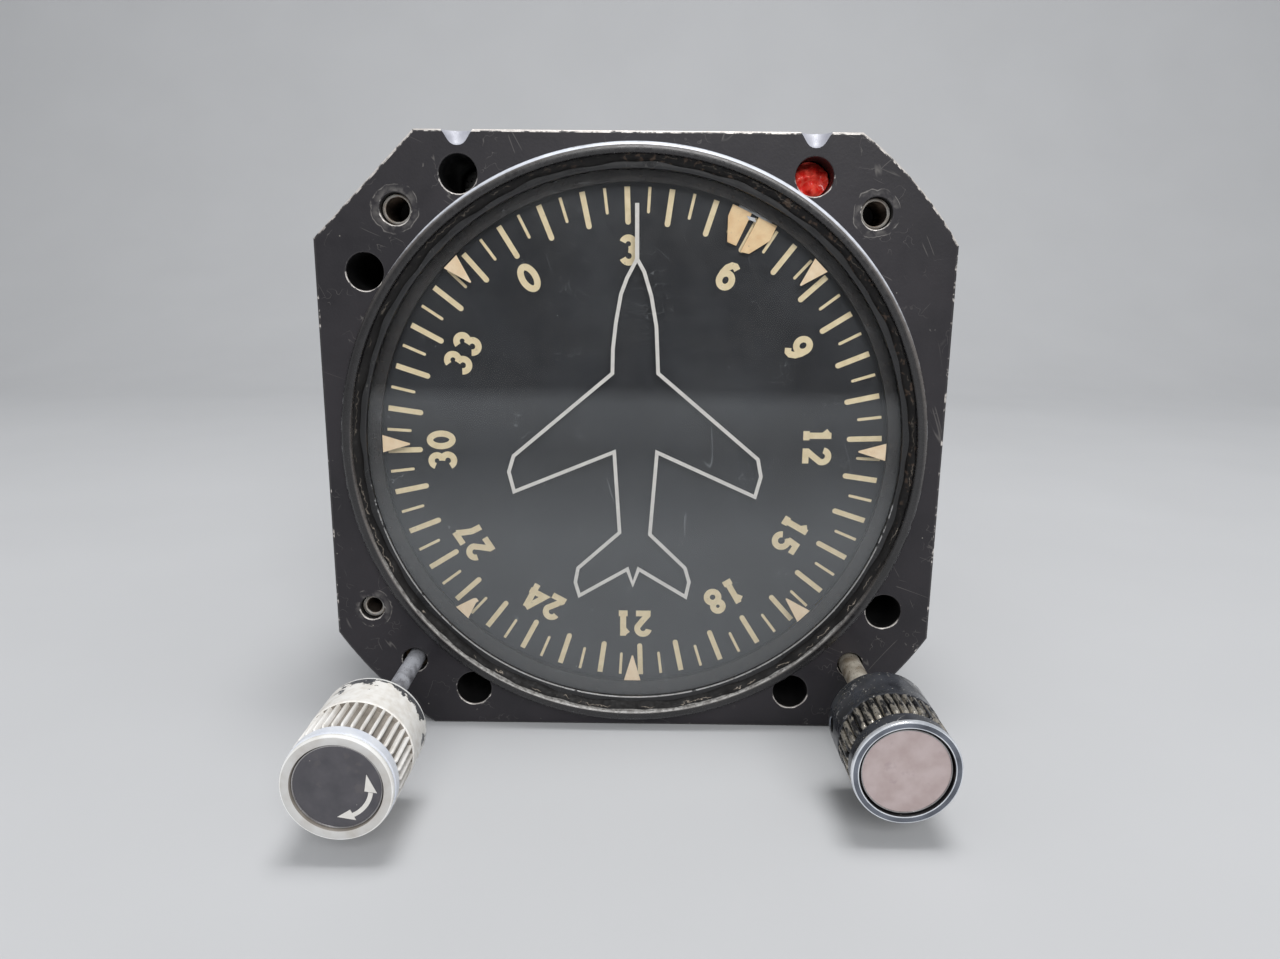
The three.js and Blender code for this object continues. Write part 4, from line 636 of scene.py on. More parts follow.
def rim_finish(name, worn):
    """The rim's gloss black, with a painted highlight where it looks up, and rubbed to metal low on both
    sides.
    """
    finish = Finish(name, IOR=1.6)
    streaks = finish.between(finish.cloud(1.6, 4.0, (1, 4, 1)), 0.3, 0.7, 0.7, 1.0)
    # Painted highlight: faces that look up and a little to the right are made paler, in streaks
    shine = finish.times(finish.between(finish.facing(0.3, 0.05, 0.95), 0.0, 0.72), streaks)
    # Painted highlight line on faces that look almost straight up
    line = finish.between(finish.facing(0.12, 0.0, 0.99), 0.4, 0.58)
    low = finish.between(finish.offset("z"), 16.0, -22.0, 0.0, 0.17)
    wear = finish.add(finish.cloud(1.8, 5.0, roughness=0.65), low)
    bare = finish.times(finish.between(wear, 0.6, 0.66), worn)
    black = finish.mottled("#171617", "#211f21", 6.0)
    patches = finish.between(finish.cloud(0.7, 5.0, roughness=0.65), 0.4, 0.6)
    rubbed = finish.blend(patches, "#b5b4b1", "#6f6d6b")
    # The painted highlight line's colour: bluish white above the middle, rubbed-metal grey lower down
    bright = finish.blend(finish.between(finish.offset("z"), 0.0, -12.0), "#e6ebf5", rubbed)
    painted_sheen = finish.blend(finish.times(shine, 0.75), black, "#a39c97")
    pale = finish.blend(finish.times(line, streaks), painted_sheen, bright)
    finish.put("Base Color", finish.blend(bare, pale, "#d0d1d4"))
    finish.put("Metallic", finish.times(bare, 0.5))
    finish.sheen(0.6, 0.2, 0.36)
    return finish.relief(bare, -0.02, 0.5).material


def ring_edge_finish():
    """The window ring's inner edge: rubbed bright in patches, with a painted highlight along the bottom,
    black at the sides and the top.
    """
    finish = Finish("worn ring edge with painted highlight")
    # Painted highlight: bright metal is pushed towards the bottom, where the edge looks up to the light
    low = finish.between(finish.offset("z"), 2.0, -16.0, -0.3, 0.12)
    bare = finish.between(finish.add(finish.cloud(1.4, 5.0, roughness=0.65), low), 0.46, 0.52)
    rubbed = finish.blend(finish.cloud(0.4, 3.0), "#b2b4b7", "#8b8781")
    finish.put("Base Color", finish.blend(bare, "#232325", rubbed))
    finish.put("Metallic", finish.times(bare, 0.5))
    finish.sheen(0.6, 0.26, 0.46)
    return finish.relief(bare, -0.02, 0.6).material


def chipped_collar():
    """The left knob's collar: white paint that has flaked from its rear edge down to black."""
    finish = Finish("chipped white collar", Metallic=0.0)
    edge = finish.between(finish.offset("d"), -24.6, -20.4, -0.2, 0.12)
    gone = finish.between(finish.add(finish.cloud(2.5, 8.0, roughness=0.68), edge), 0.545, 0.56)
    white = finish.mottled("#f0eeea", "#dcd7cf", 1.2, 3.0, 0.4, 0.7)
    under = finish.blend(finish.cloud(0.5, 3.0), "#343639", "#5b5c60")
    finish.put("Base Color", finish.blend(gone, white, under))
    finish.sheen(0.6, 0.3, 0.5)
    return finish.relief(gone, -0.06, 0.8).material


def bare_metal(name, colour, tarnish, roughness=0.3, brushed=(1, 1, 1), size=1.6, metallic=1.0):
    """Machined metal with fine tool marks and a little tarnish."""
    finish = Finish(name, Metallic=metallic)
    dull = finish.between(finish.cloud(size * 2, 4.0), 0.42, 0.7)
    finish.put("Base Color", finish.blend(dull, colour, tarnish))
    marks = finish.cloud(size * 0.12, 3.0, brushed)
    finish.put("Roughness", finish.between(marks, 0.25, 0.75, roughness - 0.08, roughness + 0.14))
    return finish.relief(marks, 0.012, 0.6).material


def printed(name, colour, faded, roughness=0.6, chips=0.0):
    """Dial paint with uneven colour and tiny gaps."""
    finish = Finish(name, Metallic=0.0)
    base = finish.mottled(colour, faded, 1.1, 4.0, 0.32)
    if chips:
        gaps = finish.between(finish.cloud(0.42, 3.0, roughness=0.7), 0.7 - chips, 0.74 - chips)
        base = finish.blend(finish.times(gaps, 0.7), base, "#6b6252")
    finish.put("Base Color", base)
    finish.sheen(0.7, roughness - 0.06, roughness + 0.1, 2.0)
    return finish.relief(finish.cloud(0.18, 3.0), 0.01, 0.4).material


def mask_finish():
    """The dark band under the window ring, with brown crumbs of old compound lying on it."""
    finish = Finish("dial mask black", Metallic=0.0)
    crumbs = finish.most(finish.specks(0.55, 0.3, 0.3), finish.specks(0.9, 0.22, 0.35))
    patches = finish.between(finish.cloud(3.5, 3.0), 0.42, 0.6)
    brown = finish.blend(finish.cloud(0.5, 2.0), "#4d4037", "#2c2521")
    dusty = finish.mottled("#171516", "#241f1d", 1.6, 5.0, 0.4, 0.7)
    finish.put("Base Color", finish.blend(finish.times(crumbs, patches), dusty, brown))
    finish.sheen(0.7, 0.55, 0.8, 2.0)
    return finish.relief(finish.add(finish.cloud(0.3, 4.0), crumbs), 0.06, 0.7).material


def compound_finish():
    """Old sealing compound: nearly black, lumpy, with cracks and a few brown flakes."""
    crack_radius = 38.05
    finish = Finish("sealing compound", Metallic=0.0, IOR=1.32)
    wander = finish.between(finish.cloud(1.1, 5.0, roughness=0.6), 0.2, 0.8, -0.45, 0.45)
    away = finish.add(finish.around(0, 0), wander)
    broken = finish.between(finish.cloud(2.6, 3.0), 0.5, 0.56)
    crack = finish.times(finish.between(finish.apart(away, crack_radius), 0.02, 0.06, 1.0, 0.0), broken)
    upper_right = finish.between(finish.add(finish.offset("x"), finish.offset("z")), 20.0, 40.0)
    flakes = finish.times(finish.between(finish.cloud(0.8, 5.0), 0.58, 0.64), upper_right)
    base = finish.blend(flakes, finish.blend(finish.cloud(1.3, 4.0), "#0e0d0e", "#191716"), "#4a3d34")
    seen = finish.between(finish.offset("z"), 5.0, -25.0, 0.3, 0.9)
    finish.put("Base Color", finish.blend(finish.times(crack, seen), base, "#9a9084"))
    finish.sheen(0.5, 0.4, 0.7)
    height = finish.less(finish.cloud(0.6, 4.0), finish.times(crack, 0.5))
    return finish.relief(height, 0.1, 0.7).material


def glass_finish():
    """The window's outside: a faint mirror by Fresnel under dust, film, scratches and a painted reflection
    greying the lower half.
    """
    finish = Finish("window glass", IOR=1.5)
    mirror = finish.node("ShaderNodeFresnel", {"IOR": 1.24})
    dust = finish.times(finish.most(finish.specks(2.1, 0.04, 0.25), finish.specks(1.3, 0.03, 0.12)), 0.4)
    lines = finish.times(finish.most(finish.hairlines(5.0, 12, 0.005), finish.hairs(3.5, 0.004)), 0.14)
    film = finish.between(finish.cloud(15.0, 2.0), 0.38, 0.75, 0.004, 0.015)
    # Painted reflection: haze that changes with height, in bands, greyest over the lower half
    height = finish.add(finish.offset("z"), finish.times(finish.cloud(20.0, 2.0), 1.5))
    upper = finish.between(height, 9.0, 6.8, 0.0, 0.062)
    band = finish.less(upper, finish.between(height, 5.5, 0.0, 0.0, 0.026))
    low = finish.add(band, finish.between(height, 0.0, -12.0, 0.0, 0.086))
    # Real dust, scratches and film, plus the painted reflection bands
    haze_and_reflection = finish.add(finish.most(dust, lines), finish.add(film, low))
    share = finish.maths("DIVIDE", haze_and_reflection, finish.add(haze_and_reflection, mirror))
    finish.put("Base Color", finish.blend(share, "#ffffff", "#d3d8dc"))
    finish.put("Metallic", finish.less(1.0, share))
    finish.put("Roughness", finish.between(share, 0.0, 1.0, 0.03, 0.8))
    finish.put("Alpha", finish.add(mirror, haze_and_reflection))
    return finish.material


def clean_glass():
    """The inside and the edge of the window, almost free of dust."""
    finish = Finish("window glass inside", IOR=1.5)
    finish.put("Base Color", finish.blend(finish.cloud(8.0, 3.0), "#e8ecec", "#dfe4e4"))
    finish.sheen(4.0, 0.05, 0.2, 2.0)
    finish.put("Alpha", finish.between(finish.cloud(11.0, 0.0), 0.4, 0.8, 0.002, 0.012))
    return finish.material


def seal_finish():
    """Red sealing lacquer, glossy and crumpled."""
    finish = Finish("red sealing lacquer", IOR=1.5)
    folds = finish.cloud(1.1, 3.0, distortion=1.0)
    finish.put("Base Color", finish.blend(finish.between(folds, 0.35, 0.65), "#ef2a22", "#ff5e4e"))
    finish.sheen(0.5, 0.1, 0.3)
    return finish.relief(folds, 0.03, 0.4).material


def disc_finish(name, dark, light, smudge, roughness):
    """A knob's face plate: fine mottling, smudges and a few bright specks."""
    finish = Finish(name, Metallic=0.0)
    base = finish.mottled(dark, light, 2.2, 5.0, 0.35, 0.65)
    smudges = finish.times(finish.between(finish.cloud(1.5, 3.0), 0.62, 0.7), 0.35)
    grains = finish.times(finish.specks(0.8, 0.07, 0.12), 0.6)
    finish.put("Base Color", finish.blend(grains, finish.blend(smudges, base, smudge), "#d8d0c8"))
    finish.sheen(0.9, roughness - 0.06, roughness + 0.1)
    return finish.relief(finish.cloud(0.2, 3.0), 0.01, 0.5).material


FRAME_BLACK = frame_finish()
FRAME_EDGE = frame_edge_finish()
# Both rim finishes carry the painted highlight; the second also has real rubbed metal low on both sides
RIM_BLACK = rim_finish("rim gloss black with painted highlight", 0.0)
RIM_WEAR_AND_HIGHLIGHT = rim_finish("worn rim edge with painted highlight", 1.0)
HOLE_BLACK = black_paint("hole black", "#0f0f10", "#171617", 0.5, scratch=0.0)
NOTCH_METAL = bare_metal("bare notch", "#bdbec6", "#9fa0aa", 0.45, metallic=0.15)
CASE_BLACK = wrinkle_paint("case wrinkle paint", "#1c1c1e", "#2f2f32")
CASE_EDGE = worn_edge("worn case edge", "#2c2c2e", "#a9a6a4", 0.42)
RING_BLACK = black_paint("ring black", "#161617", "#202022", 0.3, scratch=0.2)
RING_BRIGHT = ring_edge_finish()
BUG_CLIP = bare_metal("bug clip", "#d3d5d8", "#a2a3a6", 0.25, metallic=0.5)
STEEL = bare_metal("steel", "#a9a8a5", "#75706a", 0.3)
BRASS = bare_metal("brass", "#b9944d", "#8c6a33", 0.32)
PIN_GOLD = bare_metal("gold plated pin", "#d8b45c", "#b48f45", 0.2)
ALUMINIUM = bare_metal("aluminium", "#b4b6b8", "#8d8f91", 0.34)
SHAFT_STEEL = bare_metal("knob shaft steel", "#c6c8cf", "#6f6e73", 0.3, (1, 5, 1), 1.2, 0.35)
SHAFT_BROWN = bare_metal("stained knob shaft", "#d3ccbe", "#8f8270", 0.3, (1, 5, 1), 1.2, 0.35)
# Painted shade: the bushings sit deep in the shaft bores, and their bronze is made nearly black to stand for
# the shade there
BUSHING = bare_metal("bushing bronze darkened as painted shade", "#4a3d2e", "#241e18", 0.45, metallic=0.6)
CAGE_METAL = bare_metal("cage knob ridge", "#eceae7", "#d2cdc5", 0.4, metallic=0.1)
CAGE_GROOVE = bare_metal("cage knob groove", "#9a938b", "#7b746c", 0.5, metallic=0.2)
CAGE_BAND = bare_metal("cage knob band", "#e9ecf2", "#d3d9e6", 0.34, metallic=0.08)
CAGE_LIP = bare_metal("cage knob lip", "#cfcecc", "#bab5ae", 0.36, metallic=0.12)
# Painted highlight: a near-white copy of the knob's aluminium for its rounded rear edge and lip, where light
# catches them
CAGE_EDGE_HIGHLIGHT = bare_metal("cage knob edge painted highlight", "#f4f4f2", "#dfdcd6", 0.3, metallic=0.05)
CAGE_COLLAR = chipped_collar()
BUG_COLLAR = black_paint("bug knob black", "#202227", "#3a3c42", 0.26, "#c9c6c2", 0.7, 0.9,
                         speck=(0.5, 0.2, 0.5), cloud=3.0)
BUG_GROOVE = black_paint("bug knob groove", "#0e0e10", "#1a1a1c", 0.35, "#8f8577", 0.4)
BUG_RIDGE = worn_edge("worn bug knob ridge", "#1a1a1d", "#cdc5b6", 0.5, 0.75, 0.28, 0.7, (1, 3.5, 1))
BUG_CHROME = bare_metal("bug knob chrome", "#858a94", "#5e6168", 0.16)
# Painted highlight: a near-white copy of the chrome for the lip's rounded edge and the slope inside it
CHROME_EDGE_HIGHLIGHT = bare_metal("bug knob chrome edge painted highlight", "#f0f3f8", "#c6cbd3", 0.12, metallic=0.6)
DISC_EDGE = bare_metal("knob face edge", "#b3b1b1", "#7f7c7c", 0.3, metallic=0.8)
CAGE_FACE = disc_finish("cage knob face", "#454449", "#525055", "#5f5a5a", 0.42)
BUG_FACE = disc_finish("bug knob face", "#ab9a98", "#b9aaa9", "#98878a", 0.5)
DIAL_BLACK = black_paint("dial black", "#15171c", "#1d2026", 0.62, scratch=0.0, dust=0.2, gloss=1.4,
                         grain=0.001)
MASK_BLACK = mask_finish()
CREAM = printed("cream dial paint", "#f3e2bb", "#e5d2a7", chips=0.03)
BUG_CREAM = printed("bug cream paint", "#fbdcac", "#efc997", chips=0.02)
MARK_CREAM = printed("triangle cream paint", "#fde6c4", "#f3d7b0")
OUTLINE_GREY = printed("aircraft outline paint", "#e6e3dd", "#d9d6d1")
RUBBER = black_paint("gasket rubber", "#1a1a1a", "#222222", 0.75, scratch=0.0)
COMPOUND = compound_finish()
GLASS = glass_finish()
GLASS_INSIDE = clean_glass()
RED_SEAL = seal_finish()
FILTER_PAPER = printed("filter paper", "#d2c8ae", "#bdb195", 0.9)
INSULATOR = black_paint("connector insulator", "#1b1b1c", "#26262a", 0.55, scratch=0.0)
COPPER_EDGE = bare_metal("insert face", "#e4e0d9", "#b9a48e", 0.3, metallic=0.25, size=0.9)
THREAD_DARK = bare_metal("insert thread", "#7a716a", "#45403c", 0.35)


# Front frame with its rim, holes and notches

# Finish numbers of the frame's faces
PAINT, EDGE, HOLE, RIM, NOTCH, RIM_EDGE = range(6)


def arc(radius, start, end, steps):
    """Points of a circle about the axis, from one angle to another."""
    return [polar(radius, start + (end - start) * k / steps) for k in range(steps + 1)]


def frame_outline(steps=14):
    """The frame's outline: the upper left corner is cut straight, the others are arcs about the axis."""
    side = math.degrees(math.acos(HALF_WIDTH / CORNER_RADIUS))
    top = math.degrees(math.asin(HALF_HEIGHT / CORNER_RADIUS))
    reach = CORNER_CUT * math.sqrt(2)
    return [*arc(CORNER_RADIUS, side, top, steps),
            (HALF_HEIGHT - reach, HALF_HEIGHT), (-HALF_WIDTH, reach - HALF_WIDTH),
            *arc(CORNER_RADIUS, 180 + side, 180 + top, steps),
            *arc(CORNER_RADIUS, 360 - top, 360 - side, steps)]


def drilled(radius, depth, x, z, mouth=0.16):
    """A cutter for a round hole with a slightly rounded, worn mouth."""
    turns = [k * math.pi / 8 for k in range(5)]
    flare = [(radius + mouth * (1 - math.sin(t)), mouth * (1 - math.cos(t)), EDGE) for t in turns]
    profile = [(0, -4, HOLE), (radius + mouth, -4, HOLE), *flare, (radius, mouth * 1.3, HOLE),
               (radius, depth, HOLE), (0, depth, HOLE)]
    return turned(profile, 48, x, z)


def top_notch(x):
    """A round-bottomed notch drilled down into the top side at the front edge."""
    bowl = ((0, 2.0), (0.45, 1.94), (0.83, 1.75), (1.12, 1.45), (1.36, 1.1), (1.66, 0.6), (2.1, 0), (2.1, -1),
            (0, -1))
    return turned([(radius, HALF_HEIGHT - depth, NOTCH) for radius, depth in bowl], 40, x, 0, "z")


def raised_rim():
    """The rim round the dial, with a wide round outer shoulder and a narrow inner one."""
    turns = [k * math.pi / 14 for k in range(8)]
    outer = [(RIM_RADIUS - 0.9 * (1 - math.cos(t)), -RIM_HEIGHT + 1.15 * (1 - math.sin(t)),
              RIM_EDGE if t < 0.5 else RIM) for t in turns]
    inner = [(RIM_INNER - 0.3 * math.sin(t), -RIM_HEIGHT + 0.3 * (1 - math.cos(t)), RIM) for t in turns]
    profile = [(0, 1, RIM), (RIM_RADIUS, 1, RIM), *outer, *inner, (BORE_RADIUS, 0.9, RIM), (0, 0.9, RIM)]
    return turned(profile, 192)


def dial_bore():
    """The cutter for the dial opening, with the ledge that the window lies against."""
    bore, ledge, rear = BORE_RADIUS - 0.01, 37.7, 38.2
    return turned([(0, -5, RIM), (bore, -5, RIM), (bore, 1.9, HOLE), (ledge, 1.9, HOLE), (ledge, 9, HOLE),
                   (rear, 9, HOLE), (rear, 26, HOLE), (0, 26, HOLE)], 192)


def front_frame():
    """The casting, with its holes, its knob shaft bores and the pockets of the gear trains."""
    behind = FRAME_DEPTH + 1
    plate = slab(frame_outline(), 0, FRAME_DEPTH, 0.35, PAINT, EDGE, 4)
    cuts = [dial_bore()]
    cuts += [drilled(radius + 0.12, 9.12, x, z) for x, z, radius, _ in INSERTS]
    cuts += [drilled(HOLE_RADIUS, HOLE_DEPTH, x, z) for x, z in (*CASE_SCREWS, *SPARE_HOLES)]
    cuts += [rod(SCREW_CLEARANCE, HOLE_DEPTH - 1, behind, x, z, HOLE, 24) for x, z in CASE_SCREWS]
    for side in (-1, 1):
        idler = polar(IDLER_DISTANCE, -90 + side * 45)
        shaft = (side * KNOB_OFFSET, -KNOB_OFFSET)
        cuts.append(drilled(1.8, behind, *shaft))
        cuts.append(rod(2.72, 2, behind, *shaft, HOLE))
        cuts.append(rod(POCKET_RADIUS, 4.4, behind, *shaft, HOLE))
        cuts.append(rod(POCKET_RADIUS, 4.4, behind, *idler, HOLE))
    cuts += [top_notch(x) for x, _ in CASE_SCREWS[:2]]
    shape = carved(plate, cuts, [raised_rim()])
    finishes = [FRAME_BLACK, FRAME_EDGE, HOLE_BLACK, RIM_BLACK, NOTCH_METAL, RIM_WEAR_AND_HIGHLIGHT]
    piece("front_frame_casting", shape, finishes, "housing", ["front_frame"], 30)


front_frame()


# Inserts, screws and the seal in the holes

def threaded_insert(number, x, z, radius, bore):
    """A steel insert with a rounded mouth and a thread in its bore."""
    pitch, near, far = 0.7, 1.0, 9.0
    profile = [(radius - 0.15, near, 1), (radius, near + 0.15, 0), (radius, far, 0), (bore, far, 2)]
    turns = int((far - near - 0.6) / pitch)
    for k in range(turns):
        base = far - 0.3 - k * pitch
        profile += [(bore, base, 2), (bore + 0.22, base - pitch / 2, 2)]
    profile += [(bore, near + 0.3, 1), (bore + 0.12, near, 0)]
    shape = turned(profile, 40, x, z)
    piece(f"thread_insert_{number}", shape, [STEEL, COPPER_EDGE, THREAD_DARK], "housing",
          [f"threaded_insert_{number}"], 30)


for number, (x, z, radius, bore) in enumerate(INSERTS, 1):
    threaded_insert(number, x, z, radius, bore)


def slotted_screw(head, under, tip, turn=0.0, radius=2.2, shank=1.28, slot=0.3):
    """A slotted screw, by the distances of its head's outer face, the face under the head and its tip."""
    way = 1 if head < under else -1
    profile = [(0, head, 0), (radius - 0.35, head, 0), (radius - 0.1, head + way * 0.1, 0),
               (radius, head + way * 0.35, 0), (radius, under, 0), (shank, under, 0), (shank, tip, 0),
               (0, tip, 0)]
    notch = block((-radius - 1, head - way, -slot), (radius + 1, head + way * 2.3 * slot, slot))
    return moved(carved(turned(profile, 40), [notch]), turn=turn)


def case_screws():
    """The four screws at the bottom of the deep holes."""
    shapes = []
    for (x, z), turn in zip(CASE_SCREWS, (20, 75, -35, 50)):
        shapes.append(moved(slotted_screw(15.2, HOLE_DEPTH, 27.4, turn), x, 0, z))
    nodes = [f"case_screw_{k}" for k in (1, 2, 3, 4)]
    piece("case_screws", gathered(*shapes), [STEEL], "housing", nodes, 35)


def red_seal():
    """The crumpled plug of lacquer over the upper right screw, low in the middle and heaped at its top."""
    radius, front, rear = 2.38, 2.42, 5.2
    rings = [(radius * k / 16, front + 0.55 * (k / 16) ** 3, 0) for k in range(17)]
    shape = turned([*rings, (radius, rear, 0), (0, rear, 0)], 72, *CASE_SCREWS[1])
    for corner in shape.verts:
        if corner.co.y < 3.05:
            spot = Vector((corner.co.x, 0, corner.co.z))
            creases = 1 - 2.4 * abs(noise.noise(spot * 0.5 + Vector((0.4, 0, 0.9))))
            above = max(0.0, corner.co.z - 35.8)
            corner.co.y += 0.8 * (1 - creases) - 0.1 + 0.16 * noise.noise(spot * 1.7) + 0.55 * above ** 1.4
            corner.co.y = min(max(corner.co.y, 2.2), 4.7)
    piece("red_seal_plug", shape, [RED_SEAL], "housing", ["hole_seal"], 70)


def shaft_bushings():
    """The two bushings in which the knob shafts turn."""
    for name, sizes in (("cage", CAGE_KNOB), ("bug", BUG_KNOB)):
        bore = sizes.shaft + SHAFT_GAP
        profile = [(bore + 0.15, 2.12, 0), (2.4, 2.12, 0), (2.6, 2.3, 0), (2.6, 4.9, 0), (bore, 4.9, 0),
                   (bore, 2.27, 0)]
        shape = turned(profile, 48, sizes.x, -KNOB_OFFSET)
        piece(f"{name}_bushing", shape, [BUSHING], "housing", [f"{name}_shaft_bushing"], 35)


case_screws()
red_seal()
shaft_bushings()


# Window ring, compound, glass and mask

def window_ring():
    """The thin ring that holds the glass, with a rubbed inner edge."""
    front, inner = -0.6, 36.7
    ring = turned([(inner, 0, 0), (inner, -0.44, 1), (36.76, -0.56, 1), (36.86, front, 0), (37.15, front, 0),
                   (37.8, front, 0), (38.0, -0.4, 0), (38.0, 0, 0)], 192)
    piece("window_ring", ring, [RING_BLACK, RING_BRIGHT], "housing",
          ["window_retaining_ring"], 30)


def sealing_bead():
    """The bead of compound between ring and rim, uneven along its edge and its crest."""
    wall, foot = 38.37, 38.02
    bead = turned([(37.45, -0.6, 0), (37.55, -0.85, 0), (37.8, -1.05, 0), (38.1, -1.2, 0), (wall, -1.3, 0),
                   (wall, -0.01, 0), (foot, -0.01, 0), (foot, -0.6, 0)], 288)
    for corner in bead.verts:
        angle = math.atan2(corner.co.z, corner.co.x)
        lift = max(0.0, -corner.co.y - 0.65)
        wave = math.sin(23 * angle) + 0.7 * math.sin(51 * angle + 1.1) + 0.5 * math.sin(89 * angle + 2.3)
        corner.co.y += 0.13 * wave * min(1.0, lift * 3)
        if corner.co.xz.length < 38.0:
            reach = 1 + 0.0035 * math.sin(17 * angle + 0.4) + 0.002 * math.sin(43 * angle)
            corner.co.x *= reach
            corner.co.z *= reach
    piece("sealing_bead", bead, [COMPOUND], "housing", ["sealing_compound"], 60)


def window():
    """The glass with its bevelled edge, and the mask behind it."""
    flat = 38.1
    glass = turned([(0, 0.02, 0), (flat, 0.02, 1), (WINDOW_RADIUS, 0.16, 1), (WINDOW_RADIUS, 1.36, 1),
                    (flat, GLASS_THICKNESS, 1), (0, GLASS_THICKNESS, 1)], 128)
    piece("window_pane", glass, [GLASS, GLASS_INSIDE], "housing", ["window_glass"], 30)
    opening, front, rear = 35.3, 1.52, 1.9
    mask = turned([(opening, front, 0), (WINDOW_RADIUS, front, 0), (WINDOW_RADIUS, rear, 0),
                   (opening, rear, 0)], 160)
    piece("dial_mask_ring", mask, [MASK_BLACK], "housing", ["dial_mask"], 30)


window_ring()
sealing_bead()
window()


# Compass card with ticks and numbers

def card():
    """The card's disc with a bevelled edge, and the hub that sits on the spindle."""
    rear, hub, hub_rear = 3.8, 3.3, 4.34
    disc = turned([(0, CARD_FRONT, 0), (35.5, CARD_FRONT, 0), (CARD_RADIUS, CARD_FRONT + 0.1, 0),
                   (CARD_RADIUS, rear, 0), (hub, rear, 0), (hub, hub_rear, 0), (0, hub_rear, 0)], 160)
    piece("card_disc", disc, [DIAL_BLACK], "card_assembly", ["compass_card"], 30)


def tick(width, length):
    """One tick with a rounded inner end, lying to the right of the axis."""
    half = width / 2
    inner = TICK_RADIUS - length + half
    outline = [(TICK_RADIUS, -half), (TICK_RADIUS, half)]
    turns = [math.pi / 2 - k * math.pi / 6 for k in range(7)]
    outline += [(inner - half * math.cos(t), half * math.sin(t)) for t in turns]
    return slab(outline, CARD_FRONT - PRINT_HEIGHT, CARD_FRONT + 0.01)


DIGIT_WIDTH, DIGIT_HEIGHT, STROKE = 1.8, 3.2, 0.88


def bow(x, z, rx, rz, start, end, steps=18):
    """Points of a part of an ellipse, from one angle to another."""
    angles = [math.radians(start + (end - start) * k / steps) for k in range(steps + 1)]
    return [(x + rx * math.cos(angle), z + rz * math.sin(angle)) for angle in angles]


def oval(x, z, rx, rz, steps=28):
    """Points of a whole ellipse."""
    return bow(x, z, rx, rz, 0, 360, steps)[:-1]


SIX_BACK = [(0.05, 1.0), (0.08, 1.7), (0.3, 2.5), (0.75, 3.05), (1.2, 3.15), (1.65, 2.85)]
# Each stroke of a number: its points, and whether it closes on itself
DIGITS = {
    "0": [(oval(0.9, 1.6, 0.9, 1.6), True)],
    "1": [([(0.9, 0.0), (0.9, 3.5)], False),
          ([(0.25, 0.0), (1.55, 0.0)], False),
          ([(0.2, 2.55), (0.95, 3.15)], False)],
    "2": [([*bow(0.9, 2.35, 0.85, 0.85, 170, -20), (0.95, 1.1), (0.15, 0.15)], False),
          ([(-0.2, 0.0), (1.95, 0.0)], False)],
    "3": [(bow(0.85, 2.4, 0.8, 0.8, 160, -85), False),
          (bow(0.85, 0.85, 0.85, 0.85, 90, -160), False)],
    "4": [([(1.6, 3.6), (-0.1, 0.85), (2.3, 0.85)], False),
          ([(1.7, 3.5), (1.7, -0.4)], False)],
    "5": [([(1.8, 3.2), (0.35, 3.2), (0.2, 1.75)], False),
          (bow(0.8, 1.0, 0.95, 0.95, 140, -160), False)],
    "6": [(oval(0.9, 0.95, 0.85, 0.95), True),
          (SIX_BACK, False)],
    "7": [([(-0.15, 3.2), (1.95, 3.2)], False),
          ([(1.75, 3.1), (1.2, 2.0), (0.8, 1.0), (0.7, -0.4)], False)],
    "8": [(oval(0.9, 2.45, 0.7, 0.72), True),
          (oval(0.9, 0.85, 0.85, 0.85), True)],
    "9": [(oval(0.9, 2.25, 0.85, 0.95), True),
          ([(1.8 - x, 3.2 - z) for x, z in SIX_BACK], False)],
}
# Number, angle of its middle from the right in degrees, and distance of its middle from the axis
NUMBERS = (("0", 122.4, 27.0), ("3", 92.0, 26.6), ("6", 61.8, 26.45), ("9", 31.3, 26.4),
           ("12", 0.1, 25.8), ("15", -29.9, 26.0), ("18", -59.4, 26.1), ("21", -89.9, 26.8),
           ("24", -118.5, 27.0), ("27", -148.0, 27.2), ("30", -177.7, 27.2), ("33", 152.1, 26.9))


def digit(figure):
    """One printed figure, upright, with its lower left at the origin."""
    near, far = CARD_FRONT - PRINT_HEIGHT, CARD_FRONT + 0.01
    strokes = [swept(points, STROKE, near, far, loop) for points, loop in DIGITS[figure]]
    return carved(strokes[0], joins=strokes[1:]) if len(strokes) > 1 else strokes[0]


def numbers():
    """All numbers of the card, each with its top towards the card's edge."""
    gap = 0.25
    step = DIGIT_WIDTH + STROKE + gap
    shapes = []
    for text, angle, distance in NUMBERS:
        left = -(step * len(text) - gap - STROKE) / 2
        for k, figure in enumerate(text):
            shape = moved(digit(figure), left + k * step, 0, distance - DIGIT_HEIGHT / 2)
            shapes.append(moved(shape, turn=angle - 90))
    piece("card_numbers", gathered(*shapes), [CREAM], "card_assembly", (), 30)


card()
first_tick = -(CARD_TURN % 10)
round_pattern("card_long_ticks", tick(0.75, 4.9), CREAM, 36, first_tick, "card_assembly")
round_pattern("card_short_ticks", tick(0.4, 3.4), CREAM, 36, first_tick - 5, "card_assembly")
numbers()


# Heading bug, fixed triangles and the aircraft outline

BUG_BLOCKS = (((12.86, 32.62), (15.42, 31.49), (13.43, 27.22), (12.21, 27.73), (12.24, 31.08)),
              ((16.36, 30.99), (18.80, 29.85), (17.95, 27.91), (15.20, 26.20), (13.99, 26.45)))
# Finish numbers of the bug's faces
BLOCK, ARM, CLIP = range(3)


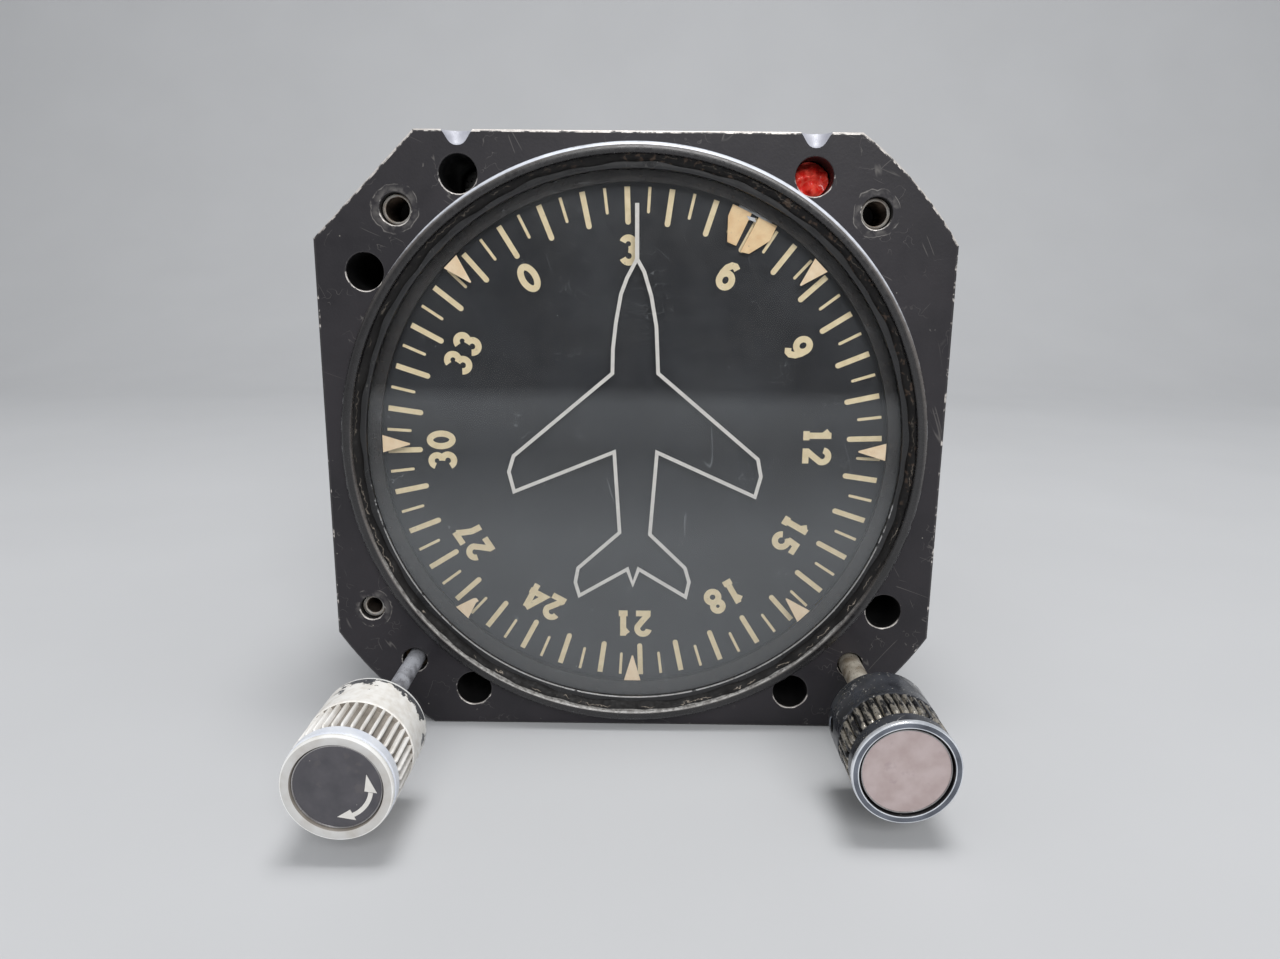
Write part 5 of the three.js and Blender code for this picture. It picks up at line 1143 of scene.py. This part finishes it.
def heading_bug():
    """The bug's two blocks, its clip, and the arm that goes round the card's edge to the bug gear."""
    front, plate_front, plate_rear = BUG_FRONT, 4.2, 4.8
    blocks = [slab(points, front, front + 0.4, 0.06, BLOCK, BLOCK, 2) for points in BUG_BLOCKS]
    middle, half = 63.1, 4.0

    def wedge(inner, outer, near, far):
        outline = arc(outer, middle - half, middle + half, 8) + arc(inner, middle + half, middle - half, 8)
        return slab(outline, near, far, 0, ARM, ARM)

    edge, outside = 27.0, 37.2
    bridge = wedge(35.0, outside, front, front + 0.4)
    arm = wedge(36.1, outside, front, plate_rear)
    strap = wedge(edge, outside, plate_front, plate_rear)
    foot = wedge(edge, 30.8, plate_front, 5.5)
    clip_outline = [(14.7, 31.12), (15.02, 30.62), (15.95, 30.28), (15.86, 30.82)]
    clip = slab(clip_outline, front - 0.04, front + 0.3, 0, CLIP, CLIP)
    shape = carved(blocks[0], joins=[blocks[1], clip, bridge, arm, strap, foot])
    piece("bug_marker", shape, [BUG_CREAM, ALUMINIUM, BUG_CLIP], "bug_assembly",
          ["heading_bug"], 30)


# Fixed triangles: angle from the right and length; the one at the lower left is chipped
TRIANGLES = ((45, 3.8), (135, 3.8), (180, 3.8), (-0.8, 3.8), (-135, 3.0), (-45, 3.8), (-90, 3.9))
CHIPPED_LENGTH = 3.0


def fixed_triangles():
    """The seven triangles printed behind the glass, pointing inwards."""
    base = [(TRIANGLE_RADIUS, -1.22), (TRIANGLE_RADIUS, 1.22)]
    shapes = []
    for angle, length in TRIANGLES:
        tip = [(TRIANGLE_RADIUS - length, 0.1), (TRIANGLE_RADIUS - length, -0.1)]
        if length == CHIPPED_LENGTH:
            tip = [(32.5, 0.37), (32.1, 0.5), (32.0, -0.05), (32.35, -0.36)]
        shapes.append(moved(slab(base + tip, GLASS_THICKNESS + 0.01, GLASS_THICKNESS + 0.06), turn=angle))
    piece("fixed_triangles", gathered(*shapes), [MARK_CREAM], "housing", (), 30)


AIRCRAFT_LEFT = ((0.21, 25.42), (-1.13, 22.90), (-1.93, 20.76), (-2.60, 16.98), (-2.99, 13.44),
                 (-3.05, 10.11), (-16.86, -1.55), (-17.57, -3.83), (-16.88, -6.67), (-2.77, -0.84),
                 (-1.97, -12.50), (-7.92, -17.87), (-8.32, -20.01), (-7.74, -22.01), (-0.82, -17.94),
                 (-0.03, -20.21))
AIRCRAFT_RIGHT = ((0.77, -17.92), (7.61, -22.05), (8.07, -19.81), (7.44, -17.69), (2.34, -12.74),
                  (3.21, -0.84), (17.10, -7.10), (17.84, -4.17), (17.33, -1.70), (3.22, 10.17),
                  (2.90, 16.50), (2.17, 20.54), (1.18, 23.72))


def aircraft_outline():
    """A plain aircraft shape seen from above, in thin lines behind the glass."""
    near, far = GLASS_THICKNESS + 0.01, GLASS_THICKNESS + 0.06
    body = swept([*AIRCRAFT_LEFT, *AIRCRAFT_RIGHT], 0.5, near, far, True)
    nose = swept([(0.15, 32.57), (0.21, 25.2)], 0.55, near, far)
    piece("aircraft_lines", carved(body, joins=[nose]), [OUTLINE_GREY], "housing", (), 30)


heading_bug()
fixed_triangles()
aircraft_outline()


# Knobs

# Finish numbers of a knob's faces
COLLAR, GROOVE, BAND, LIP, REAR_EDGE, LIP_EDGE = range(6)


def knob(name, sizes, finishes, ridge_finish, face_finish, shaft_finish, body):
    """A knob turned with a collar, a ridged grip, a band, a lip and a recess for its face."""
    x, z, radius, shaft, lip = sizes.x, -KNOB_OFFSET, sizes.radius, sizes.shaft, sizes.lip
    front = -sizes.reach
    rear = front + sizes.length
    collar = rear - sizes.length * COLLAR_SHARE
    grip = collar - sizes.length * sizes.grip_share
    root, band = radius - 0.62, radius - 0.16
    bore, mouth = shaft + SHAFT_GAP, sizes.face + sizes.face_gap
    behind = [(0, rear - 9.5, COLLAR), (bore, rear - 9.5, COLLAR), (bore, rear - 0.1, COLLAR),
              (shaft + 0.25, rear, COLLAR), (radius - 0.32, rear, REAR_EDGE),
              (radius - 0.1, rear - 0.07, REAR_EDGE), (radius, rear - 0.3, REAR_EDGE)]
    side = [(radius, rear - 0.55, COLLAR), (radius, collar + 0.14, COLLAR), (radius - 0.14, collar, GROOVE),
            (root, collar - 0.05, GROOVE), (root, grip + 0.3, GROOVE), (band - 0.3, grip, BAND),
            (band, grip - 0.2, BAND), (band, front + 0.85, BAND)]
    rounded = [(lip - 0.18, front + 0.8, BAND), (lip - 0.18, front + 0.74, LIP_EDGE),
               (lip - 0.04, front + 0.6, LIP_EDGE), (lip, front + 0.42, LIP_EDGE),
               (lip - 0.02, front + 0.2, LIP_EDGE), (lip - 0.1, front + 0.05, LIP_EDGE),
               (lip - 0.22, front, LIP)]
    recess = [(mouth + 0.12, front + 0.02, sizes.mouth_finish), (mouth, front + 0.05, GROOVE),
              (mouth - 0.08, front + 0.2, GROOVE), (mouth - 0.1, front + 1.3, GROOVE),
              (0, front + 1.3, GROOVE)]
    shape = turned([*behind, *side, *rounded, *recess], 144, x, z)
    middle = rear - sizes.length * SCREW_SHARE
    hole = turned([(0, x - shaft, GROOVE), (0.92, x - shaft, GROOVE), (0.92, x - radius + 0.1, LIP),
                   (1.12, x - radius - 0.02, LIP), (1.12, x - radius - 1, LIP), (0, x - radius - 1, GROOVE)],
                  32, middle, z, "x")
    piece(f"{name}_body", carved(shape, [hole]), finishes, body, [name], 32)
    top, low, half = radius - 0.06, root - 0.2, sizes.ridge_half
    section = [(low, -half), (top - 0.25, -half), (top - 0.08, -half * 0.75), (top, -half * 0.3),
               (top, half * 0.3), (top - 0.08, half * 0.75), (top - 0.25, half), (low, half)]
    ends = [(u - 0.3 if u > low else u, v * 0.8) for u, v in section]
    ridge = layered([[(u, collar, v) for u, v in section], [(u, grip + 0.35, v) for u, v in section],
                     [(u, grip + 0.02, v) for u, v in ends]], [0, 0])
    round_pattern(f"{name}_ridges", ridge, ridge_finish, RIDGES, 2.0, body, x, z, (), 40)
    edge = sizes.face
    plate = turned([(0, front + 0.42, 0), (edge - 0.16, front + 0.42, 1), (edge - 0.13, front + 0.34, 1),
                    (edge - 0.02, front + 0.34, 1), (edge, front + 0.4, 1), (edge, front + 1.2, 1),
                    (0, front + 1.2, 1)], 96, x, z)
    piece(f"{name}_disc", plate, [face_finish, DISC_EDGE], body, [f"{name}_face"], 40)
    shank = rod(shaft + 0.012, rear - 9.3, 6.5, x, z)
    piece(f"{name}_shaft_shank", shank, [shaft_finish], body, (), 35)


def turning_arrow():
    """The double-headed arrow bent round the lower right of the left knob's face."""
    near, far, radius = -CAGE_KNOB.reach + 0.375, -CAGE_KNOB.reach + 0.43, 3.7
    bar = swept([polar(radius, -66 + 4 * k) for k in range(15)], 0.5, near, far)
    heads = []
    for base, tip in ((-9, 25), (-65, -93)):
        corners = [polar(radius - 0.7, base), polar(radius + 0.68, base), polar(3.62, tip)]
        heads.append(slab(corners, near, far))
    arrow = moved(carved(bar, joins=heads), CAGE_KNOB.x, 0, -KNOB_OFFSET)
    piece("cage_knob_arrow", arrow, [OUTLINE_GREY], "cage_knob_assembly", (), 30)


knob("cage_knob", CAGE_KNOB, [CAGE_COLLAR, CAGE_GROOVE, CAGE_BAND, CAGE_LIP, CAGE_EDGE_HIGHLIGHT, CAGE_EDGE_HIGHLIGHT],
     CAGE_METAL, CAGE_FACE, SHAFT_STEEL, "cage_knob_assembly")
knob("bug_knob", BUG_KNOB, [BUG_COLLAR, BUG_GROOVE, BUG_COLLAR, BUG_CHROME, BUG_COLLAR, CHROME_EDGE_HIGHLIGHT],
     BUG_RIDGE, BUG_FACE, SHAFT_BROWN, "bug_knob_assembly")
turning_arrow()


# Case, with its rear cover

CASE_RADIUS, CASE_BORE, CASE_END = 39.4, 37.9, 112.0
COVER_FRONT, COVER_REAR = 112.5, 115.5
GIMBAL_DEPTH = 59.0
BOSS_RADIUS, BOSS_TOP = 6.8, 39.9
COVER_SCREW_DISTANCE = 35.4
COVER_SCREWS = tuple(polar(COVER_SCREW_DISTANCE, 45 + 90 * k) for k in range(4))
FILTER_PLACE, PORT_PLACE, CONNECTOR_PLACE = (0, -14), (-17, 15), (14.5, 13)


def case_can():
    """The case: a flange behind the frame, a can with turned ends, pivot bosses and shaft pods."""
    flange_end, beyond = FRAME_DEPTH + 2.4, CASE_END + 1
    flange = slab(frame_outline(), FRAME_DEPTH + 0.01, flange_end, 0.3, 0, 1, 3)
    foot, waist = 40.3, 39.15
    can = turned([(0, 26, 0), (foot, 26, 0), (foot, flange_end, 0), (39.7, flange_end + 0.25, 0),
                  (CASE_RADIUS, flange_end + 0.8, 0), (CASE_RADIUS, 31.0, 1), (waist, 31.3, 0),
                  (waist, 106.4, 1), (CASE_RADIUS, 106.7, 0), (CASE_RADIUS, 111.6, 1), (39.0, CASE_END, 0),
                  (0, CASE_END, 0)], 192)
    throat = 35.2
    hollow = turned([(0, 20, 0), (throat, 20, 0), (throat, flange_end, 0), (CASE_BORE, flange_end, 0),
                     (CASE_BORE, beyond, 0), (0, beyond, 0)], 160)
    shell = carved(flange, [hollow], [can])
    pivot = turned([(0, -42, 0), (4.12, -42, 0), (4.12, 42, 0), (0, 42, 0)], 48, 0, GIMBAL_DEPTH, "z")
    joins, cuts = [], [pivot]
    boss_foot = BOSS_RADIUS + 0.7
    levels = [(0, throat), (boss_foot, throat), (boss_foot, 38.6), (BOSS_RADIUS, 39.1),
              (BOSS_RADIUS, BOSS_TOP), (0, BOSS_TOP)]
    for up in (1, -1):
        joins.append(turned([(radius, up * level, 0) for radius, level in levels], 64, 0, GIMBAL_DEPTH, "z"))
    for x, z in COVER_SCREWS:
        joins.append(rod(3.0, 98, CASE_END, x, z))
        cuts.append(rod(1.4, 102, beyond, x, z))
    pod = [(0, 26, 0), (3.4, 26, 0), (3.4, flange_end, 0), (3.0, flange_end + 0.5, 0), (3.0, 30.8, 1),
           (2.85, 31.2, 1), (2.5, 31.45, 1), (2.2, 31.5, 0), (0, 31.5, 0)]
    for sizes in (CAGE_KNOB, BUG_KNOB):
        joins.append(turned(pod, 48, sizes.x, -KNOB_OFFSET))
        cuts.append(rod(sizes.shaft + SHAFT_GAP, 24, 30.7, sizes.x, -KNOB_OFFSET))
    cuts += [rod(SCREW_CLEARANCE, 24, 28, x, z) for x, z in CASE_SCREWS]
    caging_rod = polar(36.4, -135)
    cuts.append(rod(1.45, 24, 28, *caging_rod))
    shape = carved(shell, cuts, joins)
    piece("case_can", shape, [CASE_BLACK, CASE_EDGE], "housing", ["case_body"], 30)


def bearing_caps():
    """The two slotted caps over the gimbal bearings."""
    spigot, top = 4.0, 41.0
    levels = [(0, 37.42), (spigot, 37.42), (spigot, BOSS_TOP), (BOSS_RADIUS, BOSS_TOP), (BOSS_RADIUS, 40.7),
              (6.65, 40.93), (6.4, top), (5.2, top), (5.05, 40.85), (0, 40.85)]
    for name, up in (("upper", 1), ("lower", -1)):
        cap = turned([(radius, up * level, 0) for radius, level in levels], 64, 0, GIMBAL_DEPTH, "z")
        slot = block((-3.4, GIMBAL_DEPTH - 0.5, up * 40.3), (3.4, GIMBAL_DEPTH + 0.5, up * 42))
        shape = carved(cap, [slot])
        piece(f"{name}_pivot_cap", shape, [ALUMINIUM], "housing", [f"{name}_bearing_cap"], 32)


def rear_cover():
    """The rear cover with its spigot, turned groove, fitting holes and screws, and the gasket before it."""
    face, seat, spigot, hollow = COVER_REAR, 112.52, 37.7, 36.1
    turns = [math.pi / 2 - k * math.pi / 8 for k in range(4)]
    edge = [(CASE_RADIUS - 0.8 * (1 - math.sin(t)), face - 0.8 * (1 - math.cos(t)), 1) for t in turns]
    profile = [(0, COVER_FRONT, 0), (hollow, COVER_FRONT, 0), (hollow, 109, 0), (spigot, 109, 0),
               (spigot, seat, 0), (CASE_RADIUS, seat, 0), *edge, (CASE_RADIUS - 0.8, face, 0),
               (32.7, face, 0), (32.6, face - 0.25, 1), (32.1, face - 0.25, 0), (32.0, face, 0),
               (0, face, 0)]
    cuts = [rod(SCREW_CLEARANCE, 111, 117, x, z) for x, z in COVER_SCREWS]
    cuts += [rod(3.45, 108.5, COVER_FRONT, x, z) for x, z in COVER_SCREWS]
    for radius, x, z in ((8.12, *FILTER_PLACE), (6.12, *PORT_PLACE), (7.72, *CONNECTOR_PLACE)):
        cuts.append(rod(radius, 108, 117, x, z))
    shape = carved(turned(profile, 192), cuts)
    piece("rear_cover_plate", shape, [CASE_BLACK, CASE_EDGE], "housing", ["rear_cover"], 30)
    turns = [k * math.pi / 6 for k in range(7)]
    bulge = [(CASE_RADIUS + 0.18 * math.sin(t), CASE_END + 0.5 * t / math.pi, 0) for t in turns]
    gasket = turned([(CASE_BORE, CASE_END, 0), *bulge, (CASE_BORE, COVER_FRONT, 0)], 160)
    piece("gasket_ring", gasket, [RUBBER], "housing", ["rear_gasket"], 40)
    screw = moved(slotted_screw(117.3, COVER_REAR, 102.1), COVER_SCREW_DISTANCE)
    nodes = [f"cover_screw_{k}" for k in (1, 2, 3, 4)]
    round_pattern("cover_screws", screw, STEEL, 4, 45, "housing", 0, 0, nodes, 35)


case_can()
bearing_caps()
rear_cover()


# Fittings on the rear cover

def air_filter():
    """The filter cup with its slots and knurled wall, and the pleated element inside."""
    x, z = FILTER_PLACE
    inner, wall, rim, waist, rear, floor = 6.6, 12.6, 14.0, 13.72, 126.5, 125.1
    cup = turned([(inner, COVER_FRONT, 0), (8.0, COVER_FRONT, 0), (8.0, 115.52, 0), (13.5, 115.52, 0),
                  (rim, 115.9, 0), (rim, 117.2, 0), (waist, 117.4, 0), (waist, 124.4, 0), (rim, 124.6, 0),
                  (rim, 125.7, 0), (13.8, 126.2, 0), (13.3, rear, 0), (0, rear, 0), (0, floor, 0),
                  (wall, floor, 0), (wall, 116.9, 0), (inner, 116.9, 0)], 96, x, z)
    half = [(math.cos(t), math.sin(t)) for t in (k * math.pi / 8 - math.pi / 2 for k in range(9))]
    stadium = [(9.4 + u, v) for u, v in half] + [(4.8 - u, -v) for u, v in half]
    slots = [moved(slab(stadium, 124, 128), x, 0, z, 60 * k) for k in range(6)]
    piece("filter_cup", carved(cup, slots), [ALUMINIUM], "housing", ["filter_housing"], 32)
    steps = ((117.35, 13.75), (117.8, 13.98), (124.0, 13.98), (124.45, 13.75))
    sections = [[(13.6, d, -0.34), (lift, d, -0.12), (lift, d, 0.12), (13.6, d, 0.34)] for d, lift in steps]
    ridge = layered(sections, [0, 0, 0])
    round_pattern("filter_knurl", ridge, ALUMINIUM, 72, 0, "housing", x, z, (), 30)
    pleats = [polar(12.45 if k % 2 else 11.4, k * 360 / 96) for k in range(96)]
    element = moved(slab(pleats, 119.1, 125.05), x, 0, z)
    piece("filter_pleats", element, [FILTER_PAPER], "housing", ["filter_element"], 20)


def hexagon(radius, near, far):
    """A hexagonal bar along the line, with the corners at both ends turned down to cones."""
    flat = radius * math.cos(math.pi / 6)
    angles = [math.radians(5 * k) for k in range(72)]
    sides = [flat / math.cos(math.radians((5 * k + 30) % 60 - 30)) for k in range(72)]
    loops = []
    for depth, limit in ((near, flat * 1.01), (near + 0.7, radius), (far - 0.7, radius), (far, flat * 1.01)):
        reach = [min(limit, side) for side in sides]
        loops.append([(r * math.cos(angle), depth, r * math.sin(angle)) for r, angle in zip(reach, angles)])
    return layered(loops, [0, 0, 0])


def thread(near, far, crest, root, pitch):
    """The profile of a row of thread crests between two distances."""
    profile = []
    for k in range(int((far - near) / pitch)):
        start = near + k * pitch
        profile += [(root, start, 0), (crest, start + pitch * 0.38, 0), (crest, start + pitch * 0.62, 0)]
    return [*profile, (root, far, 0)]


def vacuum_port():
    """The suction port: a hexagon with a threaded nipple."""
    x, z = PORT_PLACE
    nipple = turned([(0, 120, 0), (6.2, 120, 0), *thread(122.1, 129.6, 6.8, 6.2, 1.25), (5.9, 130.5, 0),
                     (0, 130.5, 0)], 72)
    stem = rod(6.0, COVER_FRONT, 116)
    inside = 4.2
    bore = turned([(0, 111, 0), (inside, 111, 0), (inside, 130.0, 0), (4.75, 130.7, 0), (4.75, 132, 0),
                   (0, 132, 0)], 48)
    shape = moved(carved(hexagon(9.0, COVER_REAR + 0.01, 121.5), [bore], [nipple, stem]), x, 0, z)
    piece("suction_port", shape, [ALUMINIUM], "housing", ["vacuum_port"], 32)


def connector():
    """The electrical connector: a threaded shell on a square flange, its insulator and its pins."""
    x, z = CONNECTOR_PLACE
    turns = [k * math.pi / 12 for k in range(7)]
    corner = [(6.9 + 1.6 * math.cos(t), 6.9 + 1.6 * math.sin(t)) for t in turns]
    square = [*corner, *((-b, a) for a, b in corner), *((-a, -b) for a, b in corner),
              *((b, -a) for a, b in corner)]
    flange_rear, barrel = 117.1, 7.6
    flange = slab(square, COVER_REAR + 0.01, flange_rear, 0.15, 0, 0, 2)
    shell = turned([(0, COVER_FRONT, 0), (barrel, COVER_FRONT, 0), (barrel, 118.6, 0),
                    *thread(119.0, 126.4, barrel, 7.2, 1.2), (7.3, 127.3, 0), (7.1, 127.5, 0),
                    (0, 127.5, 0)], 80)
    keyway = block((-0.6, 121.5, 5.95), (0.6, 129, 7.05))
    shape = moved(carved(flange, [rod(6.5, 111, 129), keyway], [shell]), x, 0, z)
    piece("connector_barrel", shape, [ALUMINIUM], "housing", ["connector_shell"], 32)
    pin = [(0, 118.3, 1), (0.5, 118.3, 1), (0.5, 122.1, 1), (0.35, 122.4, 1), (0, 122.5, 1)]
    insert = 6.38
    plug = turned([(0, COVER_FRONT, 0), (insert, COVER_FRONT, 0), (insert, 118.3, 0), (6.2, 118.5, 0),
                   (0, 118.5, 0)], 64)
    shape = moved(carved(plug, joins=[turned(pin, 16)]), x, 0, z)
    piece("connector_plug", shape, [INSULATOR, PIN_GOLD], "housing", ["connector_insert"], 35)
    ring_pin = turned(pin, 16, 3.9)
    round_pattern("connector_pins", ring_pin, PIN_GOLD, 6, 0, "housing", x, z, (), 35)
    screw = moved(slotted_screw(117.95, flange_rear, 116.5, 30, 1.2, 0.7, 0.16), 9.76)
    round_pattern("flange_screws", screw, STEEL, 4, 45, "housing", x, z, (), 35)


air_filter()
vacuum_port()
connector()


# CAD nodes that keep their own mesh get a finish by what they are made of
NODE_FINISHES = {
    BRASS: ("bug_idler_gear", "setting_idler_gear", "setting_gear", "card_bevel_gear", "azimuth_gear",
            "air_nozzle", "rotor"),
    ALUMINIUM: ("dial_bridge", "bug_gear", "outer_gimbal", "inner_gimbal"),
}
finish_of = {node: finish for finish, nodes in NODE_FINISHES.items() for node in nodes}
for node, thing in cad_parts.items():
    finish = finish_of.get(node, STEEL)
    thing.data.materials.clear()
    thing.data.materials.append(finish)


# Floor, backdrop, light and camera

# In metres
FLOOR_FRONT, BEND_START, BEND_RADIUS, BACKDROP_TOP, FLOOR_HALF_WIDTH = -2.6, 0.34, 0.35, 2.2, 3.2
# In millimetres, the eye's place as x, d and z
EYE_PLACE = (1.49, -122.52, 22.36)
FOCAL_LENGTH, SENSOR_WIDTH = 25.4, 36


def sweep():
    """A pale floor that curves up into a backdrop."""
    bend = [(BEND_START + BEND_RADIUS * math.sin(t), BEND_RADIUS * (1 - math.cos(t)))
            for t in (k * math.pi / 24 for k in range(1, 13))]
    line = [(FLOOR_FRONT, 0.0), (BEND_START, 0.0), *bend, (BEND_START + BEND_RADIUS, BACKDROP_TOP)]
    mesh = bpy.data.meshes.new("floor")
    mesh.from_pydata([(x, y, z) for y, z in line for x in (-FLOOR_HALF_WIDTH, FLOOR_HALF_WIDTH)], [],
                     [(2 * k, 2 * k + 1, 2 * k + 3, 2 * k + 2) for k in range(len(line) - 1)])
    mesh.shade_smooth()
    finish = Finish("pale floor", Roughness=0.85)
    finish.put("Base Color", finish.blend(finish.cloud(60.0, 3.0), "#c0c1c3", "#c7c8ca"))
    mesh.materials.append(finish.material)
    floor = bpy.data.objects.new("floor", mesh)
    bpy.context.scene.collection.objects.link(floor)


def lamp(name, location, target, size, power):
    """A soft rectangular lamp aimed at a point."""
    light = bpy.data.lights.new(name, "AREA")
    light.shape = "RECTANGLE"
    light.size, light.size_y = size
    light.energy = power
    thing = bpy.data.objects.new(name, light)
    thing.location = location
    thing.rotation_euler = (Vector(target) - Vector(location)).to_track_quat("-Z", "Y").to_euler()
    bpy.context.scene.collection.objects.link(thing)


def studio():
    """The floor, two lamps and a plain sky."""
    sweep()
    lamp("overhead", (0.05, -0.08, 0.75), (0, 0, 0.04), (0.3, 0.26), 3.0)
    lamp("front fill", (0.2, -1.15, 0.72), (0, 0, 0.04), (0.8, 0.6), 9.6)
    world = bpy.data.worlds.new("studio")
    world.use_nodes = True
    bpy.context.scene.world = world
    sky = next(node for node in world.node_tree.nodes if node.type == "BACKGROUND")
    sky.inputs["Color"].default_value = shade("#e6e8ea")
    sky.inputs["Strength"].default_value = 0.48


def camera():
    """The photograph's view: a short distance in front, a little above the axis."""
    eye = bpy.data.objects.new("camera", bpy.data.cameras.new("camera"))
    right = Vector((0.9999, 0.0070, 0.0093))
    up = Vector((-0.0106, 0.2133, 0.9769))
    back = Vector((0.0049, -0.9770, 0.2134))
    matrix = Matrix((right, up, back)).transposed().to_4x4()
    matrix.translation = place(*EYE_PLACE)
    eye.matrix_world = matrix
    eye.data.lens = FOCAL_LENGTH
    eye.data.sensor_width = SENSOR_WIDTH
    eye.data.clip_start = 0.005
    bpy.context.scene.collection.objects.link(eye)
    bpy.context.scene.camera = eye


studio()
camera()
bpy.context.scene.view_settings.view_transform = "Standard"
